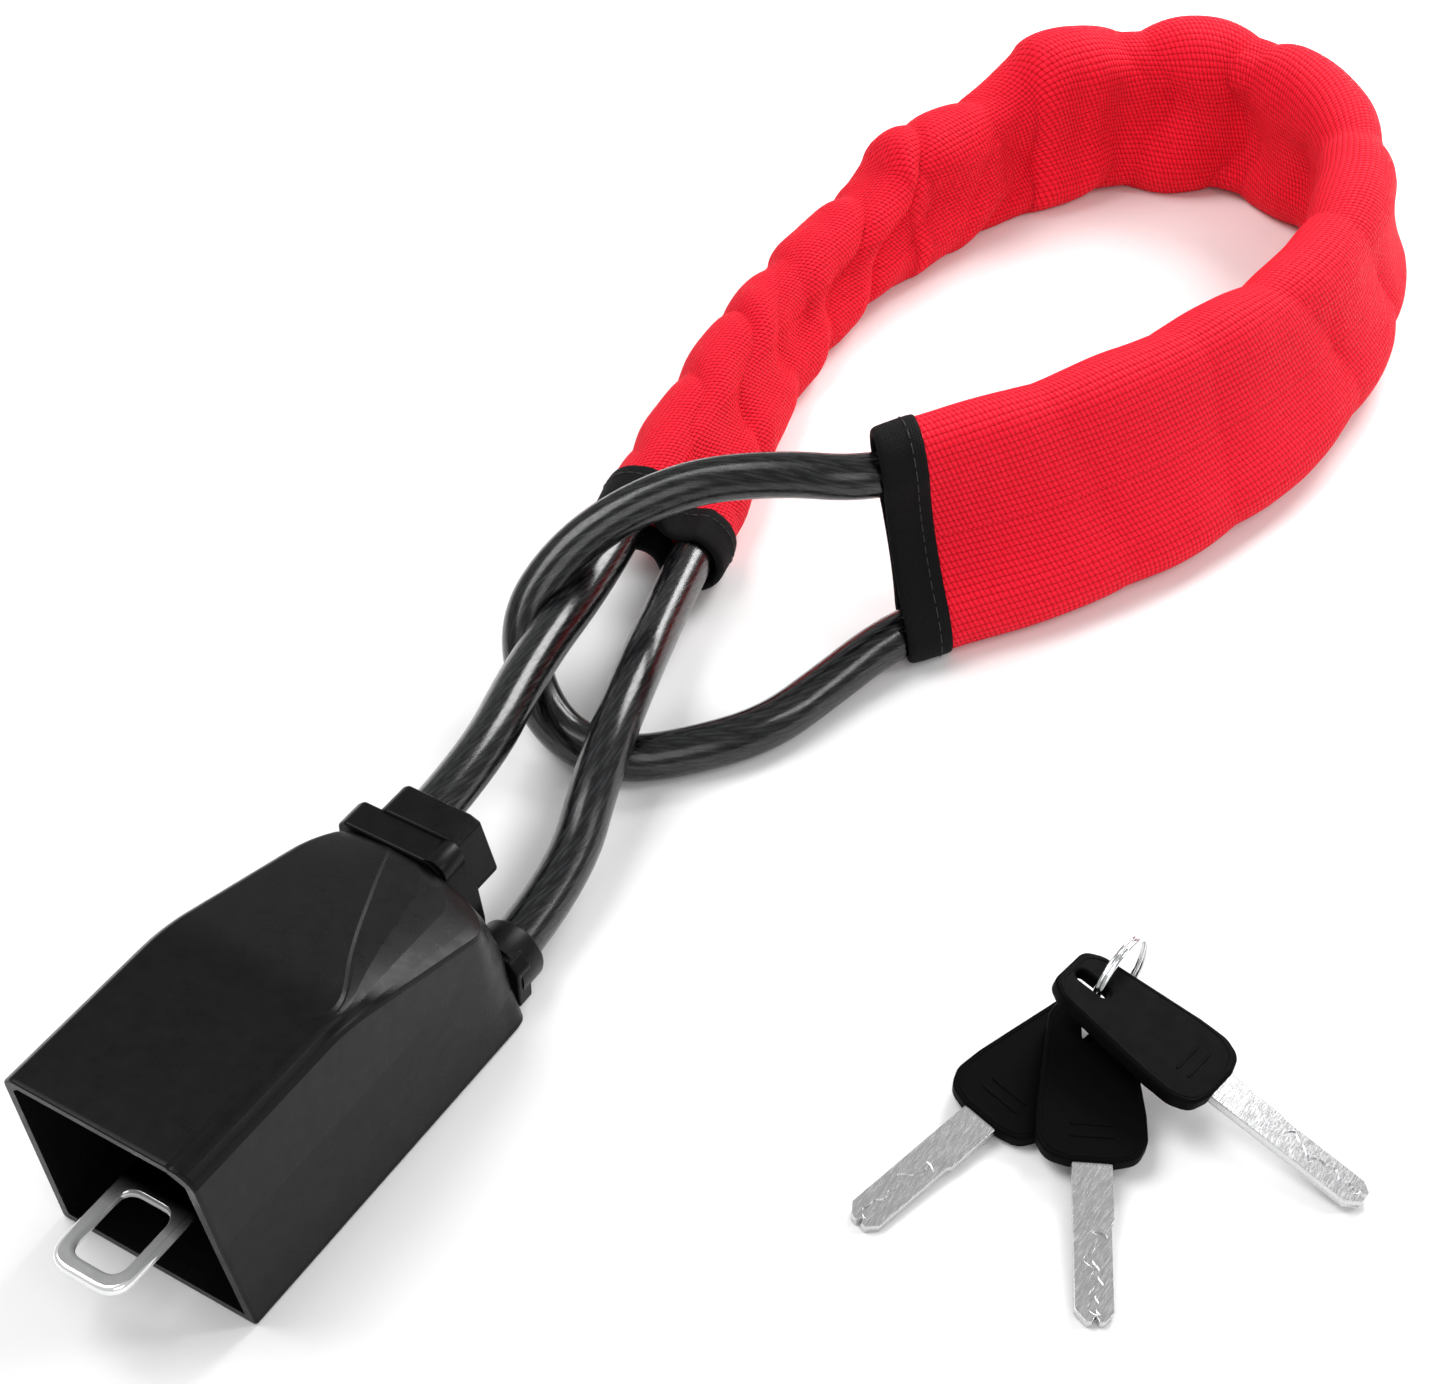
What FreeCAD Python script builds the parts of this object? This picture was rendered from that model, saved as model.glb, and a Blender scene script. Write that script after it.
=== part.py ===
import FreeCAD, Part
import math
import os
from FreeCAD import Placement, Rotation, Vector

# Seat-belt cable lock: a moulded hood over a steel latch tongue, a covered
# steel cable with both ends held in the lock, a woven sleeve round the doubled
# cable, and three keys on a split ring.  Millimetres, +Z up.
# Origin: the middle of the hood's resting face.  +X runs from the hood's mouth
# to the cable end, +Y is to the left.

# ---- driving dimensions -------------------------------------------------
MOUTH_X = -50.0         # lower edge of the hood's mouth
REAR_X = 50.0           # rear wall of the hood, outside
HOOD_FOOT = 27.0        # half width at the floor
HOOD_TOP = 24.0         # half width at the top
HOOD_TALL = 57.0        # height at the mouth
REAR_TALL = 38.5        # height at the rear wall
MOUTH_RAKE = 8.0        # how far the mouth's top edge stands forward
BREAK_X = -8.0          # where the top starts to slope down
WALL = 2.4              # moulded wall

CABLE_R = 6.0           # over the cover
ROPE_R = 4.0            # steel rope inside the cover
CABLE_START_X = 42.0    # where the cable meets its ferrules
LEFT_CABLE = (11.0, 31.0)     # y, z of the cable's axis at the upper exit
RIGHT_CABLE = (-17.0, 10.0)   # y, z of the cable's axis at the lower exit
STEP_X = 58.0           # end face of the rear cap's first step
BLOCK_X = 67.0          # end face of the rear cap's upper block
FERRULE_X = 20.0        # front end of both ferrules
FERRULE_R = 6.2

TONGUE_TIP_X = -71.0
TONGUE_ROOT_X = 15.0
TONGUE_HALF = 10.0
TONGUE_Z = 19.7
TONGUE_THICK = 2.6
WINDOW_HALF = 6.5
WINDOW_X = (-66.8, -48.0)

CORE_X = (6.0, 44.0)
PLUNGER_Y = 2.0
PLUNGER_Z = 11.5
PLUNGER_R = 8.0
PLUNGER_TRAVEL = 8.0
PLUNGER_X = (24.0, 58.4)
BARREL_R = 5.8
BARREL_X = (40.0, 58.0)
BOLT_TRAVEL = 2.0
BOLT_X = (33.6, 37.6)
BOLT_HALF = 3.2
DRIVE_PIN_R = 0.8
DRIVE_OFFSET = 1.0      # pin's start beside and above the barrel's axis
RUNNING = 0.05          # radial running clearance
ROD_R = 3.0
FOOT_X = (-12.0, -8.0)
CLIP_X = (4.2, 5.7)
CLIP_GROOVE_R = 2.5
SPRING_X = (11.1, 23.6)
SPRING_R = 4.3
SPRING_WIRE = 0.45
SPRING_COILS = 4.5
KEYWAY_HALF = 1.25
KEYWAY_TALL = 9.3
WAFERS = 6
WAFER_PITCH = 2.2
WAFER_THICK = 0.9
TANGENT_SHARE = 0.45    # of the shorter run beside a bend
STADIUM_STEPS = 10

KEY_LONG = 82.0         # ring end of the head to the tip of the blade
BLADE_LONG = 39.0       # blade outside the head
BLADE_HALF = 4.5
BLADE_THICK = 2.2
HEAD_THICK = 3.6
HEAD_HALF = 12.5        # widest half width, near the blade
HEAD_END_HALF = 9.0     # half width at the ring end
SLOT_BACK = 7.0         # ring end of the head to the middle of its slot
SLOT_LONG = 9.0
SLOT_WIDE = 3.4
TANG = 12.0             # length of the blade inside the head
TANG_HALF = 3.4
ENGRAVED_X = (33.0, 36.0)
TRACK_SWAY = 1.6
TRACK_STEPS = 16
RING_R = 11.66           # middle of the ring's wire
RING_WIRE = 0.55
RING_CENTRE = (121.99, -140.89, 12.38)
RING_NORMAL = (0.0964, 0.9924, 0.0759)

# Each key's slot centre (x, y, z), the heading of its blade, how far its tip
# dips, and its roll, in degrees.
KEYS = [
    (111.94, -139.03, 4.78, 166.2, 2.53, -4.49),
    (109.03, -140.62, 8.73, -151.4, 5.69, -2.34),
    (112.19, -138.71, 18.53, -97.3, 12.73, -8.48),
]

# The sleeve's middle line and section: x, y, lean, width of the flat tube and
# thickness.  Lean tips the upper edge towards the inside of the loop.
SLEEVE_STATIONS = [
    (217, -36, 22, 62, 15),
    (259, -61, 26, 61, 17),
    (310, -79.5, 26, 58, 18),
    (362, -85, 22, 53, 19.5),
    (407, -76, 14, 51.5, 20.5),
    (440, -52.5, 6, 50, 20.5),
    (451, -18, 0, 51, 20),
    (434, 15, -4, 50, 20),
    (400, 38, -4, 42, 18),
    (354, 50.5, -8, 35, 17.5),
    (304, 53, -18, 32, 17),
    (252.5, 45, -38, 33, 17),
    (203, 33, -60, 36, 18),
]
SLEEVE_WALL = 1.0
BINDING_LONG = 9.0
BINDING_PROUD = 0.8

# The cable's route, from the upper exit, through the sleeve, round the eye,
# back through the sleeve and into the lower exit.
CABLE_ROUTE = [
    # upper exit and leg
    (42, 11, 31), (83, 11, 31), (125, 24, 27.5), (162, 31, 23),
    # upper strand in the sleeve
    (201, 41.5, 19.5), (251.5, 50, 20.5), (304, 55.5, 22.5), (354, 52, 26), (400.5, 39, 34),
    (435, 16, 42), (451, -18, 43), (438.5, -51.5, 41), (406, -72, 41), (362, -78.5, 41.5),
    (312, -71.5, 45.3), (262.5, -53, 46.3), (226, -33, 46.8), (207, -22.3, 50),
    # the eye, over the legs and back under them
    (199, -4, 49.5), (188, 15, 46.5), (172, 28, 41.5), (157, 36, 33.5), (142, 38, 23.5),
    (130.5, 28, 13.5), (124.5, 14, 7.5), (127, -2, 6), (139, -14.5, 6),
    (156, -26.5, 6), (177, -31, 6),
    # lower strand in the sleeve
    (198, -36, 8), (217, -45.4, 9), (257, -69.5, 8.3), (308, -88.5, 8.3), (362, -92, 8.3),
    (408.5, -80, 8.3), (441.5, -53.5, 8.3), (451, -18, 8.3), (433, 14, 8.3), (399.5, 37, 8.3),
    (354, 49.3, 8.3), (304, 51, 8.6), (253.5, 40, 8.7),
    # lower leg and exit
    (205, 24.5, 9.8), (172, 14, 15), (142, 3.5, 20.5), (112, -6, 20.5), (80, -17, 10),
    (42, -17, 10),
]

# fasteners: x, y of the foot screws and rivets; y, z of the cap screws;
# x, y, z of the ferrule's grub screw
FOOT_SCREWS = [(14.0, 17.0), (38.0, 17.0), (11.0, -16.0)]
RIVETS = [(11.0, -6.5), (11.0, 6.5)]
CAP_SCREWS = [(21.0, 8.0), (21.0, 26.0)]
GRUB_SCREWS = [(30.0, 17.3, 31.0)]

os.makedirs("parts", exist_ok=True)


# ---- small helpers ------------------------------------------------------
def save(name, shape):
    """Write one sub-part as one STEP file."""
    if not shape.isValid():
        print("NOT VALID", name)
    shape.exportStep("parts/" + name + ".step")
    box = shape.BoundBox
    print("%-18s %9.1f mm3  x %7.1f %7.1f  y %7.1f %7.1f  z %6.1f %6.1f" % (
        name, shape.Volume, box.XMin, box.XMax, box.YMin, box.YMax, box.ZMin, box.ZMax))


def x_cylinder(radius, x_from, x_to, y, z):
    return Part.makeCylinder(radius, x_to - x_from, Vector(x_from, y, z), Vector(1, 0, 0))


def block(x_from, x_to, y_from, y_to, z_from, z_to):
    return Part.makeBox(x_to - x_from, y_to - y_from, z_to - z_from, Vector(x_from, y_from, z_from))


def polygon(points):
    return Part.makePolygon([Vector(*p) for p in points + points[:1]])


def x_prism(outline, x_from, x_to):
    """Extrude an outline of (y, z) points along X."""
    face = Part.Face(polygon([(x_from, y, z) for y, z in outline]))
    return face.extrude(Vector(x_to - x_from, 0, 0))


def inset(outline, distance):
    """Move every side of a closed outline, listed clockwise, inwards."""
    count = len(outline)
    moved = []
    for i in range(count):
        before, here, after = outline[i - 1], outline[i], outline[(i + 1) % count]
        normals = []
        for p, q in ((before, here), (here, after)):
            run = math.hypot(q[0] - p[0], q[1] - p[1])
            normals.append(((q[1] - p[1]) / run, -(q[0] - p[0]) / run))
        (ay, az), (by, bz) = normals
        stretch = distance / (1.0 + ay * by + az * bz)
        moved.append((here[0] + (ay + by) * stretch, here[1] + (az + bz) * stretch))
    return moved


# ---- hood ---------------------------------------------------------------
def hood_outline(x):
    """The hood's outline at x, as (y, z) points, clockwise seen from the mouth."""
    slope = max(0.0, x - BREAK_X) / (REAR_X - BREAK_X)
    top = HOOD_TALL - (HOOD_TALL - REAR_TALL) * slope
    panel = -18.0 if x < BREAK_X - 6 else -21.5 + 30.5 * slope
    shoulder = top - 3.2 + 0.6 * slope
    side = -HOOD_TOP + 0.2
    # towards the rear wall the upper right corner rounds off, most at the top
    close = max(0.0, (x - 38.0) / 12.0) ** 2
    wall = [(-HOOD_FOOT + 0.3, 2.0), (-HOOD_FOOT + 0.9, 11.0), (-HOOD_FOOT + 1.5, 22.0),
            (-HOOD_FOOT + 2.1, 30.0), (side, shoulder)]
    corner = [(-26.4, 2.0), (-23.6, 11.0), (-20.2, 22.5), (-14.9, 30.2), (-7.3, 35.4)]
    right = [(a + (c - a) * close, b + (d - b) * close) for (a, b), (c, d) in zip(wall, corner)]
    left = [(HOOD_FOOT - 1.0, top - 3.0), (HOOD_TOP - 1.0, top)]
    return [(-HOOD_FOOT, 0.0)] + right + [(panel, top)] + left[::-1] + [(HOOD_FOOT, 0.0)]


def hood_wire(x, depth, shift=0.0):
    """One section of the hood; the mouth's own section leans forward."""
    outline = hood_outline(x)
    if depth:
        outline = inset(outline, depth)
    lean = MOUTH_RAKE / HOOD_TALL if x <= MOUTH_X else 0.0
    return polygon([(x + shift - lean * z, y, z) for y, z in outline])


def hood_solid(depth, stations, shift=0.0):
    wires = [hood_wire(x, depth, shift if x <= MOUTH_X else 0.0) for x in stations]
    return Part.makeLoft(wires, True, True)


def make_hood():
    stations = [MOUTH_X, -16.0, BREAK_X, 10.0, 25.0, 38.0, 42.0, 46.0]
    outer = hood_solid(0.0, stations + [REAR_X])
    inner = hood_solid(WALL, stations + [REAR_X - WALL], -2.0)
    hood = outer.cut(inner)
    for y, z in (LEFT_CABLE, RIGHT_CABLE):
        hood = hood.cut(x_cylinder(CABLE_R + 0.15, CABLE_START_X - 2, REAR_X + 1, y, z))
    hood = hood.cut(x_cylinder(PLUNGER_R + RUNNING, 40.0, REAR_X + 1, PLUNGER_Y, PLUNGER_Z))
    for x, y in FOOT_SCREWS:
        hood = hood.cut(Part.makeCylinder(3.6, 1.5, Vector(x, y, -0.1)))
        hood = hood.cut(Part.makeCylinder(2.1, WALL + 0.2, Vector(x, y, -0.1)))
    for y, z in CAP_SCREWS:
        hood = hood.cut(x_cylinder(1.6, 44.0, REAR_X + 1, y, z))
    save("hood_shell", hood)


def make_screws():
    """Countersunk screws from below into the core, and two into the rear cap."""
    foot = []
    for x, y in FOOT_SCREWS:
        head = Part.makeCylinder(3.5, 1.1, Vector(x, y, 0.3))
        shank = Part.makeCylinder(2.0, 10.0, Vector(x, y, 1.4))
        recess = Part.makeBox(4.0, 0.9, 0.6, Vector(x - 2.0, y - 0.45, 0.2))
        foot.append(head.fuse(shank).cut(recess))
    save("housing_screws", Part.makeCompound(foot))
    cap = []
    for y, z in CAP_SCREWS:
        head = x_cylinder(2.8, REAR_X - WALL - 1.6, REAR_X - WALL, y, z)
        cap.append(head.fuse(x_cylinder(1.5, REAR_X - WALL, REAR_X + 6.0, y, z)))
    save("cap_screws", Part.makeCompound(cap))


# ---- rear cap and collar ------------------------------------------------
def make_rear_cap():
    """Two moulded steps behind the rear wall; the cable leaves the upper one."""
    lower = [(-10.3, 0.8), (-10.3, 17.5), (-9.0, 26.0), (-4.5, 36.2), (-1.5, 38.2),
             (22.5, 38.2), (24.5, 36.4), (24.5, 0.8)]
    upper = [(-6.8, 23.4), (-7.8, 24.6), (-3.6, 38.2), (-1.0, 39.0), (16.5, 39.0),
             (18.2, 37.6), (18.2, 23.4)]
    cap = x_prism(lower, REAR_X, STEP_X)
    cap = cap.fuse(x_prism(upper, STEP_X - 0.5, BLOCK_X))
    cap = cap.fuse(x_cylinder(3.2, REAR_X, STEP_X, -2.4, 35.3))
    left_y, left_z = LEFT_CABLE
    cap = cap.cut(x_cylinder(CABLE_R + 0.1, REAR_X - 1, BLOCK_X + 1, left_y, left_z))
    cap = cap.cut(x_cylinder(PLUNGER_R + RUNNING, REAR_X - 1, STEP_X + 1, PLUNGER_Y, PLUNGER_Z))
    for y, z in CAP_SCREWS:
        cap = cap.cut(x_cylinder(1.5, REAR_X - 1, REAR_X + 6.0, y, z))
    save("rear_cap", cap.removeSplitter())


def make_collar():
    y, z = RIGHT_CABLE
    outline = [(-25.0, 3.0), (-25.0, 13.6), (-22.6, 16.6), (-14.5, 17.6), (-11.2, 17.2),
               (-10.4, 15.6), (-10.4, 2.4), (-24.0, 2.4)]
    collar = x_prism(outline, REAR_X, STEP_X)
    collar = collar.cut(x_cylinder(CABLE_R + 0.1, REAR_X - 1, STEP_X + 1, y, z))
    save("cable_collar", collar)


# ---- lock core, tongue, ferrules ----------------------------------------
def make_core():
    """Die-cast core that holds the tongue, both ferrules and the lock."""
    front, rear = CORE_X
    left_y, left_z = LEFT_CABLE
    right_y, right_z = RIGHT_CABLE
    core = block(front, rear, -8.0, 22.0, 2.6, 25.5)
    core = core.fuse(block(16.0, 42.0, 3.5, 21.0, 25.0, 38.0))
    core = core.fuse(block(8.0, 38.0, -23.2, -7.5, 2.6, 18.4))
    core = core.cut(x_cylinder(FERRULE_R + RUNNING, FERRULE_X, rear + 1, left_y, left_z))
    core = core.cut(x_cylinder(FERRULE_R + RUNNING, FERRULE_X, rear + 1, right_y, right_z))
    core = core.cut(x_cylinder(PLUNGER_R + RUNNING, 15.8, rear + 1, PLUNGER_Y, PLUNGER_Z))
    core = core.cut(x_cylinder(5.5, 11.0, 16.0, PLUNGER_Y, PLUNGER_Z))
    core = core.cut(x_cylinder(ROD_R + RUNNING, front - 1, 12.0, PLUNGER_Y, PLUNGER_Z))
    core = core.cut(block(front - 1, TONGUE_ROOT_X + 0.1, -TONGUE_HALF, TONGUE_HALF,
                          TONGUE_Z, TONGUE_Z + TONGUE_THICK))
    for x, y in RIVETS:
        core = core.cut(Part.makeCylinder(2.0, 7.0, Vector(x, y, 18.0)))
        core = core.cut(Part.makeCylinder(3.2, 1.6, Vector(x, y, 24.0)))
    for x, y in FOOT_SCREWS:
        core = core.cut(Part.makeCylinder(2.0, 9.0, Vector(x, y, 2.4)))
    for x, y_from, z in GRUB_SCREWS:
        core = core.cut(Part.makeCylinder(2.0, 5.0, Vector(x, y_from, z), Vector(0, 1, 0)))
    # notch that the locking bolt runs out into
    notch = block(BOLT_X[0] - 0.2, BOLT_X[1] + 0.2, PLUNGER_Y + PLUNGER_R - 1.0,
                  PLUNGER_Y + PLUNGER_R + BOLT_TRAVEL + 0.6,
                  PLUNGER_Z - BOLT_HALF - 0.3, PLUNGER_Z + BOLT_HALF + 0.3)
    save("lock_core", core.cut(notch))


def make_tongue():
    """Steel latch plate with a round-cornered window, as on a belt tongue."""
    plate = block(TONGUE_TIP_X, TONGUE_ROOT_X, -TONGUE_HALF, TONGUE_HALF,
                  TONGUE_Z, TONGUE_Z + TONGUE_THICK)
    window = block(WINDOW_X[0], WINDOW_X[1], -WINDOW_HALF, WINDOW_HALF,
                   TONGUE_Z - 1, TONGUE_Z + TONGUE_THICK + 1)
    plate = plate.makeFillet(6.5, corners(plate, TONGUE_TIP_X, TONGUE_HALF))
    window = window.makeFillet(3.5, corners(window, WINDOW_X[0], WINDOW_HALF)
                               + corners(window, WINDOW_X[1], WINDOW_HALF))
    plate = plate.cut(window)
    plate = plate.makeFillet(0.9, [e for e in plate.Edges if long_flat_edge(e)])
    for x, y in RIVETS:
        plate = plate.cut(Part.makeCylinder(2.0, 9.0, Vector(x, y, TONGUE_Z - 3)))
    save("latch_tongue", plate)
    rivets = []
    for x, y in RIVETS:
        body = Part.makeCylinder(2.0, 6.0, Vector(x, y, 18.0))
        rivets.append(body.fuse(Part.makeCylinder(3.2, 1.2, Vector(x, y, 24.0))))
    save("tongue_rivets", Part.makeCompound(rivets))


def corners(shape, x, half_width):
    """Upright edges of a box at one x."""
    found = []
    for edge in shape.Edges:
        box = edge.BoundBox
        if box.ZLength > 0.5 and abs(box.XMin - x) < 0.01 and abs(abs(box.YMin) - half_width) < 0.01:
            found.append(edge)
    return found


def long_flat_edge(edge):
    """Edges of the tongue's top and bottom faces that lie outside the core."""
    box = edge.BoundBox
    return box.ZLength < 0.01 and box.XMin < CORE_X[0] and box.XMax < TONGUE_ROOT_X + 0.01


def make_ferrules():
    for name, (y, z) in (("ferrule_upper", LEFT_CABLE), ("ferrule_lower", RIGHT_CABLE)):
        sleeve = x_cylinder(FERRULE_R, FERRULE_X, CABLE_START_X, y, z)
        save(name, sleeve.cut(x_cylinder(ROPE_R, FERRULE_X + 2, CABLE_START_X + 1, y, z)))
    screws = []
    for x, y_from, z in GRUB_SCREWS:
        screw = Part.makeCylinder(2.0, 3.6, Vector(x, y_from, z), Vector(0, 1, 0))
        socket = Part.makeCylinder(1.0, 2.0, Vector(x, y_from + 2.2, z), Vector(0, 1, 0))
        screws.append(screw.cut(socket))
    save("ferrule_screw", Part.makeCompound(screws))


# ---- plunger with the key barrel ----------------------------------------
def make_plunger():
    """Round housing, push rod and foot that slide together towards the mouth."""
    front, rear = PLUNGER_X
    y, z = PLUNGER_Y, PLUNGER_Z
    housing = x_cylinder(PLUNGER_R, front, rear, y, z)
    housing = housing.cut(x_cylinder(BARREL_R + RUNNING, BARREL_X[0], rear + 1, y, z))
    housing = housing.cut(x_cylinder(2.5, BOLT_X[1] - 0.5, BARREL_X[0] + 0.5, y, z))
    housing = housing.cut(block(BOLT_X[0] - RUNNING, BOLT_X[1] + RUNNING, y - 5.1, y + PLUNGER_R + 1,
                                z - BOLT_HALF - RUNNING, z + BOLT_HALF + RUNNING))
    save("plunger_housing", housing)
    rod = x_cylinder(ROD_R, FOOT_X[1], front, y, z)
    groove = x_cylinder(ROD_R + 1, CLIP_X[0], CLIP_X[1], y, z)
    groove = groove.cut(x_cylinder(CLIP_GROOVE_R, CLIP_X[0], CLIP_X[1], y, z))
    save("push_rod", rod.cut(groove))
    foot = block(FOOT_X[0], FOOT_X[1], y - 8, y + 8, 5.0, 17.5)
    edges = [e for e in foot.Edges if e.BoundBox.XLength > 1]
    save("presser_foot", foot.makeFillet(2.0, edges))
    clip = x_cylinder(5.0, CLIP_X[0], CLIP_X[1], y, z)
    clip = clip.cut(x_cylinder(CLIP_GROOVE_R, CLIP_X[0], CLIP_X[1], y, z))
    clip = clip.cut(block(CLIP_X[0] - 1, CLIP_X[1] + 1, y - 2.2, y + 2.2, z, z + 6))
    save("retaining_clip", clip)


def make_return_spring():
    """Coil spring round the rod, between the core and the plunger's front."""
    start = SPRING_X[0] + SPRING_WIRE
    height = SPRING_X[1] - SPRING_X[0] - 2 * SPRING_WIRE
    helix = Part.makeHelix(height / SPRING_COILS, height, SPRING_R)
    ring = Part.Wire(Part.makeCircle(SPRING_WIRE, Vector(SPRING_R, 0, 0), Vector(0, 1, 0)))
    coil = Part.Wire(helix.Edges).makePipeShell([ring], True, True)
    coil.Placement = Placement(Vector(start, PLUNGER_Y, PLUNGER_Z), Rotation(Vector(0, 1, 0), 90))
    save("return_spring", coil)


def make_barrel():
    """Key barrel with a flat keyway, its wafers, its drive pin and the bolt."""
    front, rear = BARREL_X
    y, z = PLUNGER_Y, PLUNGER_Z
    barrel = x_cylinder(BARREL_R, front, rear, y, z)
    keyway = block(front + 2.0, rear + 1, y - KEYWAY_HALF, y + KEYWAY_HALF,
                   z - KEYWAY_TALL / 2, z + KEYWAY_TALL / 2)
    wafers = []
    for i in range(WAFERS):
        x = front + 3.0 + i * WAFER_PITCH
        seat = x_cylinder(BARREL_R - 0.4, x - 0.05, x + WAFER_THICK + 0.05, y, z)
        seat = seat.common(block(x - 1, x + 2, y - 3.3, y + 3.3, z - 6, z + 6))
        wafer = x_cylinder(BARREL_R - 0.45, x, x + WAFER_THICK, y, z)
        wafer = wafer.common(block(x - 1, x + 2, y - 3.25, y + 3.25, z - 6, z + 6))
        reach = 3.4 + 0.25 * (i % 3)
        wafer = wafer.cut(block(x - 1, x + 2, y - KEYWAY_HALF, y + KEYWAY_HALF, z - reach, z + reach))
        barrel = barrel.cut(seat)
        wafers.append(wafer)
    barrel = barrel.cut(keyway)
    save("key_barrel", barrel)
    save("barrel_wafers", Part.makeCompound(wafers))
    pin_y, pin_z = y - DRIVE_OFFSET, z + DRIVE_OFFSET
    save("drive_pin", x_cylinder(DRIVE_PIN_R, BOLT_X[0] + 0.2, front, pin_y, pin_z))
    bolt = block(BOLT_X[0], BOLT_X[1], y - 5.0, y + 7.2, z - BOLT_HALF, z + BOLT_HALF)
    slide = DRIVE_PIN_R + 0.1
    slot = block(BOLT_X[0] - 1, BOLT_X[1] + 1, pin_y - slide, pin_y + slide,
                 z + DRIVE_OFFSET - slide, z + DRIVE_OFFSET * math.sqrt(2.0) + slide)
    save("locking_bolt", bolt.cut(slot))


# ---- cable --------------------------------------------------------------
def rounded_path(points):
    """Straight runs joined by tangent arcs, and the arcs' radii."""
    corners_at = [Vector(*p) for p in points]
    edges = []
    radii = []
    start = corners_at[0]
    for before, here, after in zip(corners_at, corners_at[1:], corners_at[2:]):
        back = (before - here).normalize()
        ahead = (after - here).normalize()
        turn = math.pi - back.getAngle(ahead)
        shorter = min((before - here).Length, (after - here).Length)
        cut = TANGENT_SHARE * shorter
        radius = cut / math.tan(turn / 2)
        radii.append(radius)
        into = here + back * cut
        out = here + ahead * cut
        bisector = (back + ahead).normalize()
        middle = here + bisector * (radius / math.cos(turn / 2) - radius)
        edges.append(Part.LineSegment(start, into).toShape())
        edges.append(Part.Arc(into, middle, out).toShape())
        start = out
    edges.append(Part.LineSegment(start, corners_at[-1]).toShape())
    return Part.Wire(edges), radii


def ring_wire(radius, point):
    return Part.Wire(Part.makeCircle(radius, Vector(*point), Vector(1, 0, 0)))


def sweep(path, radius, closed=True):
    return path.makePipeShell([ring_wire(radius, CABLE_ROUTE[0])], closed, True)


def hollow_sweep(path, outer_radius, inner_radius):
    """A tube along the path, closed by a flat ring at each end."""
    faces = sweep(path, outer_radius, False).Faces + sweep(path, inner_radius, False).Faces
    for point in (CABLE_ROUTE[0], CABLE_ROUTE[-1]):
        disc = Part.Face(ring_wire(outer_radius, point))
        faces.append(disc.cut(Part.Face(ring_wire(inner_radius, point))).Faces[0])
    shell = Part.makeShell(faces)
    shell.sewShape()
    solid = Part.Solid(shell)
    solid.fix(0.001, 0.001, 0.01)
    return solid


def make_cable():
    path, radii = rounded_path(CABLE_ROUTE)
    print("cable length %.1f, radii %s" % (path.Length, " ".join("%.0f" % r for r in radii)))
    cover = hollow_sweep(path, CABLE_R, ROPE_R)
    ring_area = math.pi * (CABLE_R ** 2 - ROPE_R ** 2)
    print("cover volume over section x length %.4f" % (cover.Volume / (ring_area * path.Length)))
    save("cable_cover", cover)
    rope = sweep(path, ROPE_R)
    for y, z in (LEFT_CABLE, RIGHT_CABLE):
        rope = rope.fuse(x_cylinder(ROPE_R, FERRULE_X + 2.0, CABLE_START_X, y, z))
    save("cable_rope", rope)


# ---- sleeve and bindings ------------------------------------------------
def sleeve_headings():
    headings = []
    last = len(SLEEVE_STATIONS) - 1
    for i in range(last + 1):
        ax, ay = SLEEVE_STATIONS[max(0, i - 1)][:2]
        bx, by = SLEEVE_STATIONS[min(last, i + 1)][:2]
        headings.append(Vector(bx - ax, by - ay, 0).normalize())
    return headings


def stadium(station, heading, shift, grow):
    """Section of the flattened tube: two straight sides and two round ends."""
    x, y, lean, width, thick = station
    tip = math.radians(lean)
    left = Vector(-heading.y, heading.x, 0)
    across = Vector(0, 0, math.cos(tip)) + left * math.sin(tip)
    outwards = left * math.cos(tip) - Vector(0, 0, math.sin(tip))
    half = (width - thick) / 2
    lift = BINDING_PROUD if station in (SLEEVE_STATIONS[0], SLEEVE_STATIONS[-1]) else 0.0
    middle = Vector(x, y, half * math.cos(tip) + thick / 2 + lift) + heading * shift
    radius = thick / 2 + grow
    points = []
    for end in (1, -1):
        for i in range(STADIUM_STEPS + 1):
            angle = math.pi * i / STADIUM_STEPS
            points.append(middle + across * (end * (half + radius * math.sin(angle)))
                          + outwards * (end * radius * math.cos(angle)))
    return Part.makePolygon(points + points[:1])


def tube(sections, wall):
    outer = Part.makeLoft([stadium(*s, 0.0) for s in sections], True, True)
    bore = Part.makeLoft([stadium(*s, -wall) for s in sections], True, True)
    return outer.cut(bore)


def make_sleeve():
    headings = sleeve_headings()
    sections = []
    for station, heading in zip(SLEEVE_STATIONS, headings):
        sections.append((station, heading, 0.0))
    save("sleeve", tube(sections, SLEEVE_WALL))
    for name, i, side in (("front_binding", 0, -1), ("back_binding", -1, 1)):
        near = (SLEEVE_STATIONS[i], headings[i], 0.0)
        far = (SLEEVE_STATIONS[i], headings[i], side * BINDING_LONG)
        outer = Part.makeLoft([stadium(*near, BINDING_PROUD), stadium(*far, BINDING_PROUD)], True, True)
        bore = Part.makeLoft([stadium(*near, -SLEEVE_WALL), stadium(*far, -SLEEVE_WALL)], True, True)
        save(name, outer.cut(bore))


# ---- keys and ring ------------------------------------------------------
def place_key(shape, key):
    """Put a key drawn along +X from its ring end onto its place on the ring."""
    x, y, z, yaw, pitch, roll = key
    turn = Rotation(Vector(0, 0, 1), yaw)
    turn = turn.multiply(Rotation(Vector(0, 1, 0), pitch)).multiply(Rotation(Vector(1, 0, 0), roll))
    move = Placement(Vector(x, y, z) - turn.multVec(Vector(SLOT_BACK, 0, 0)), turn)
    return shape.transformGeometry(move.toMatrix())


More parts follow.
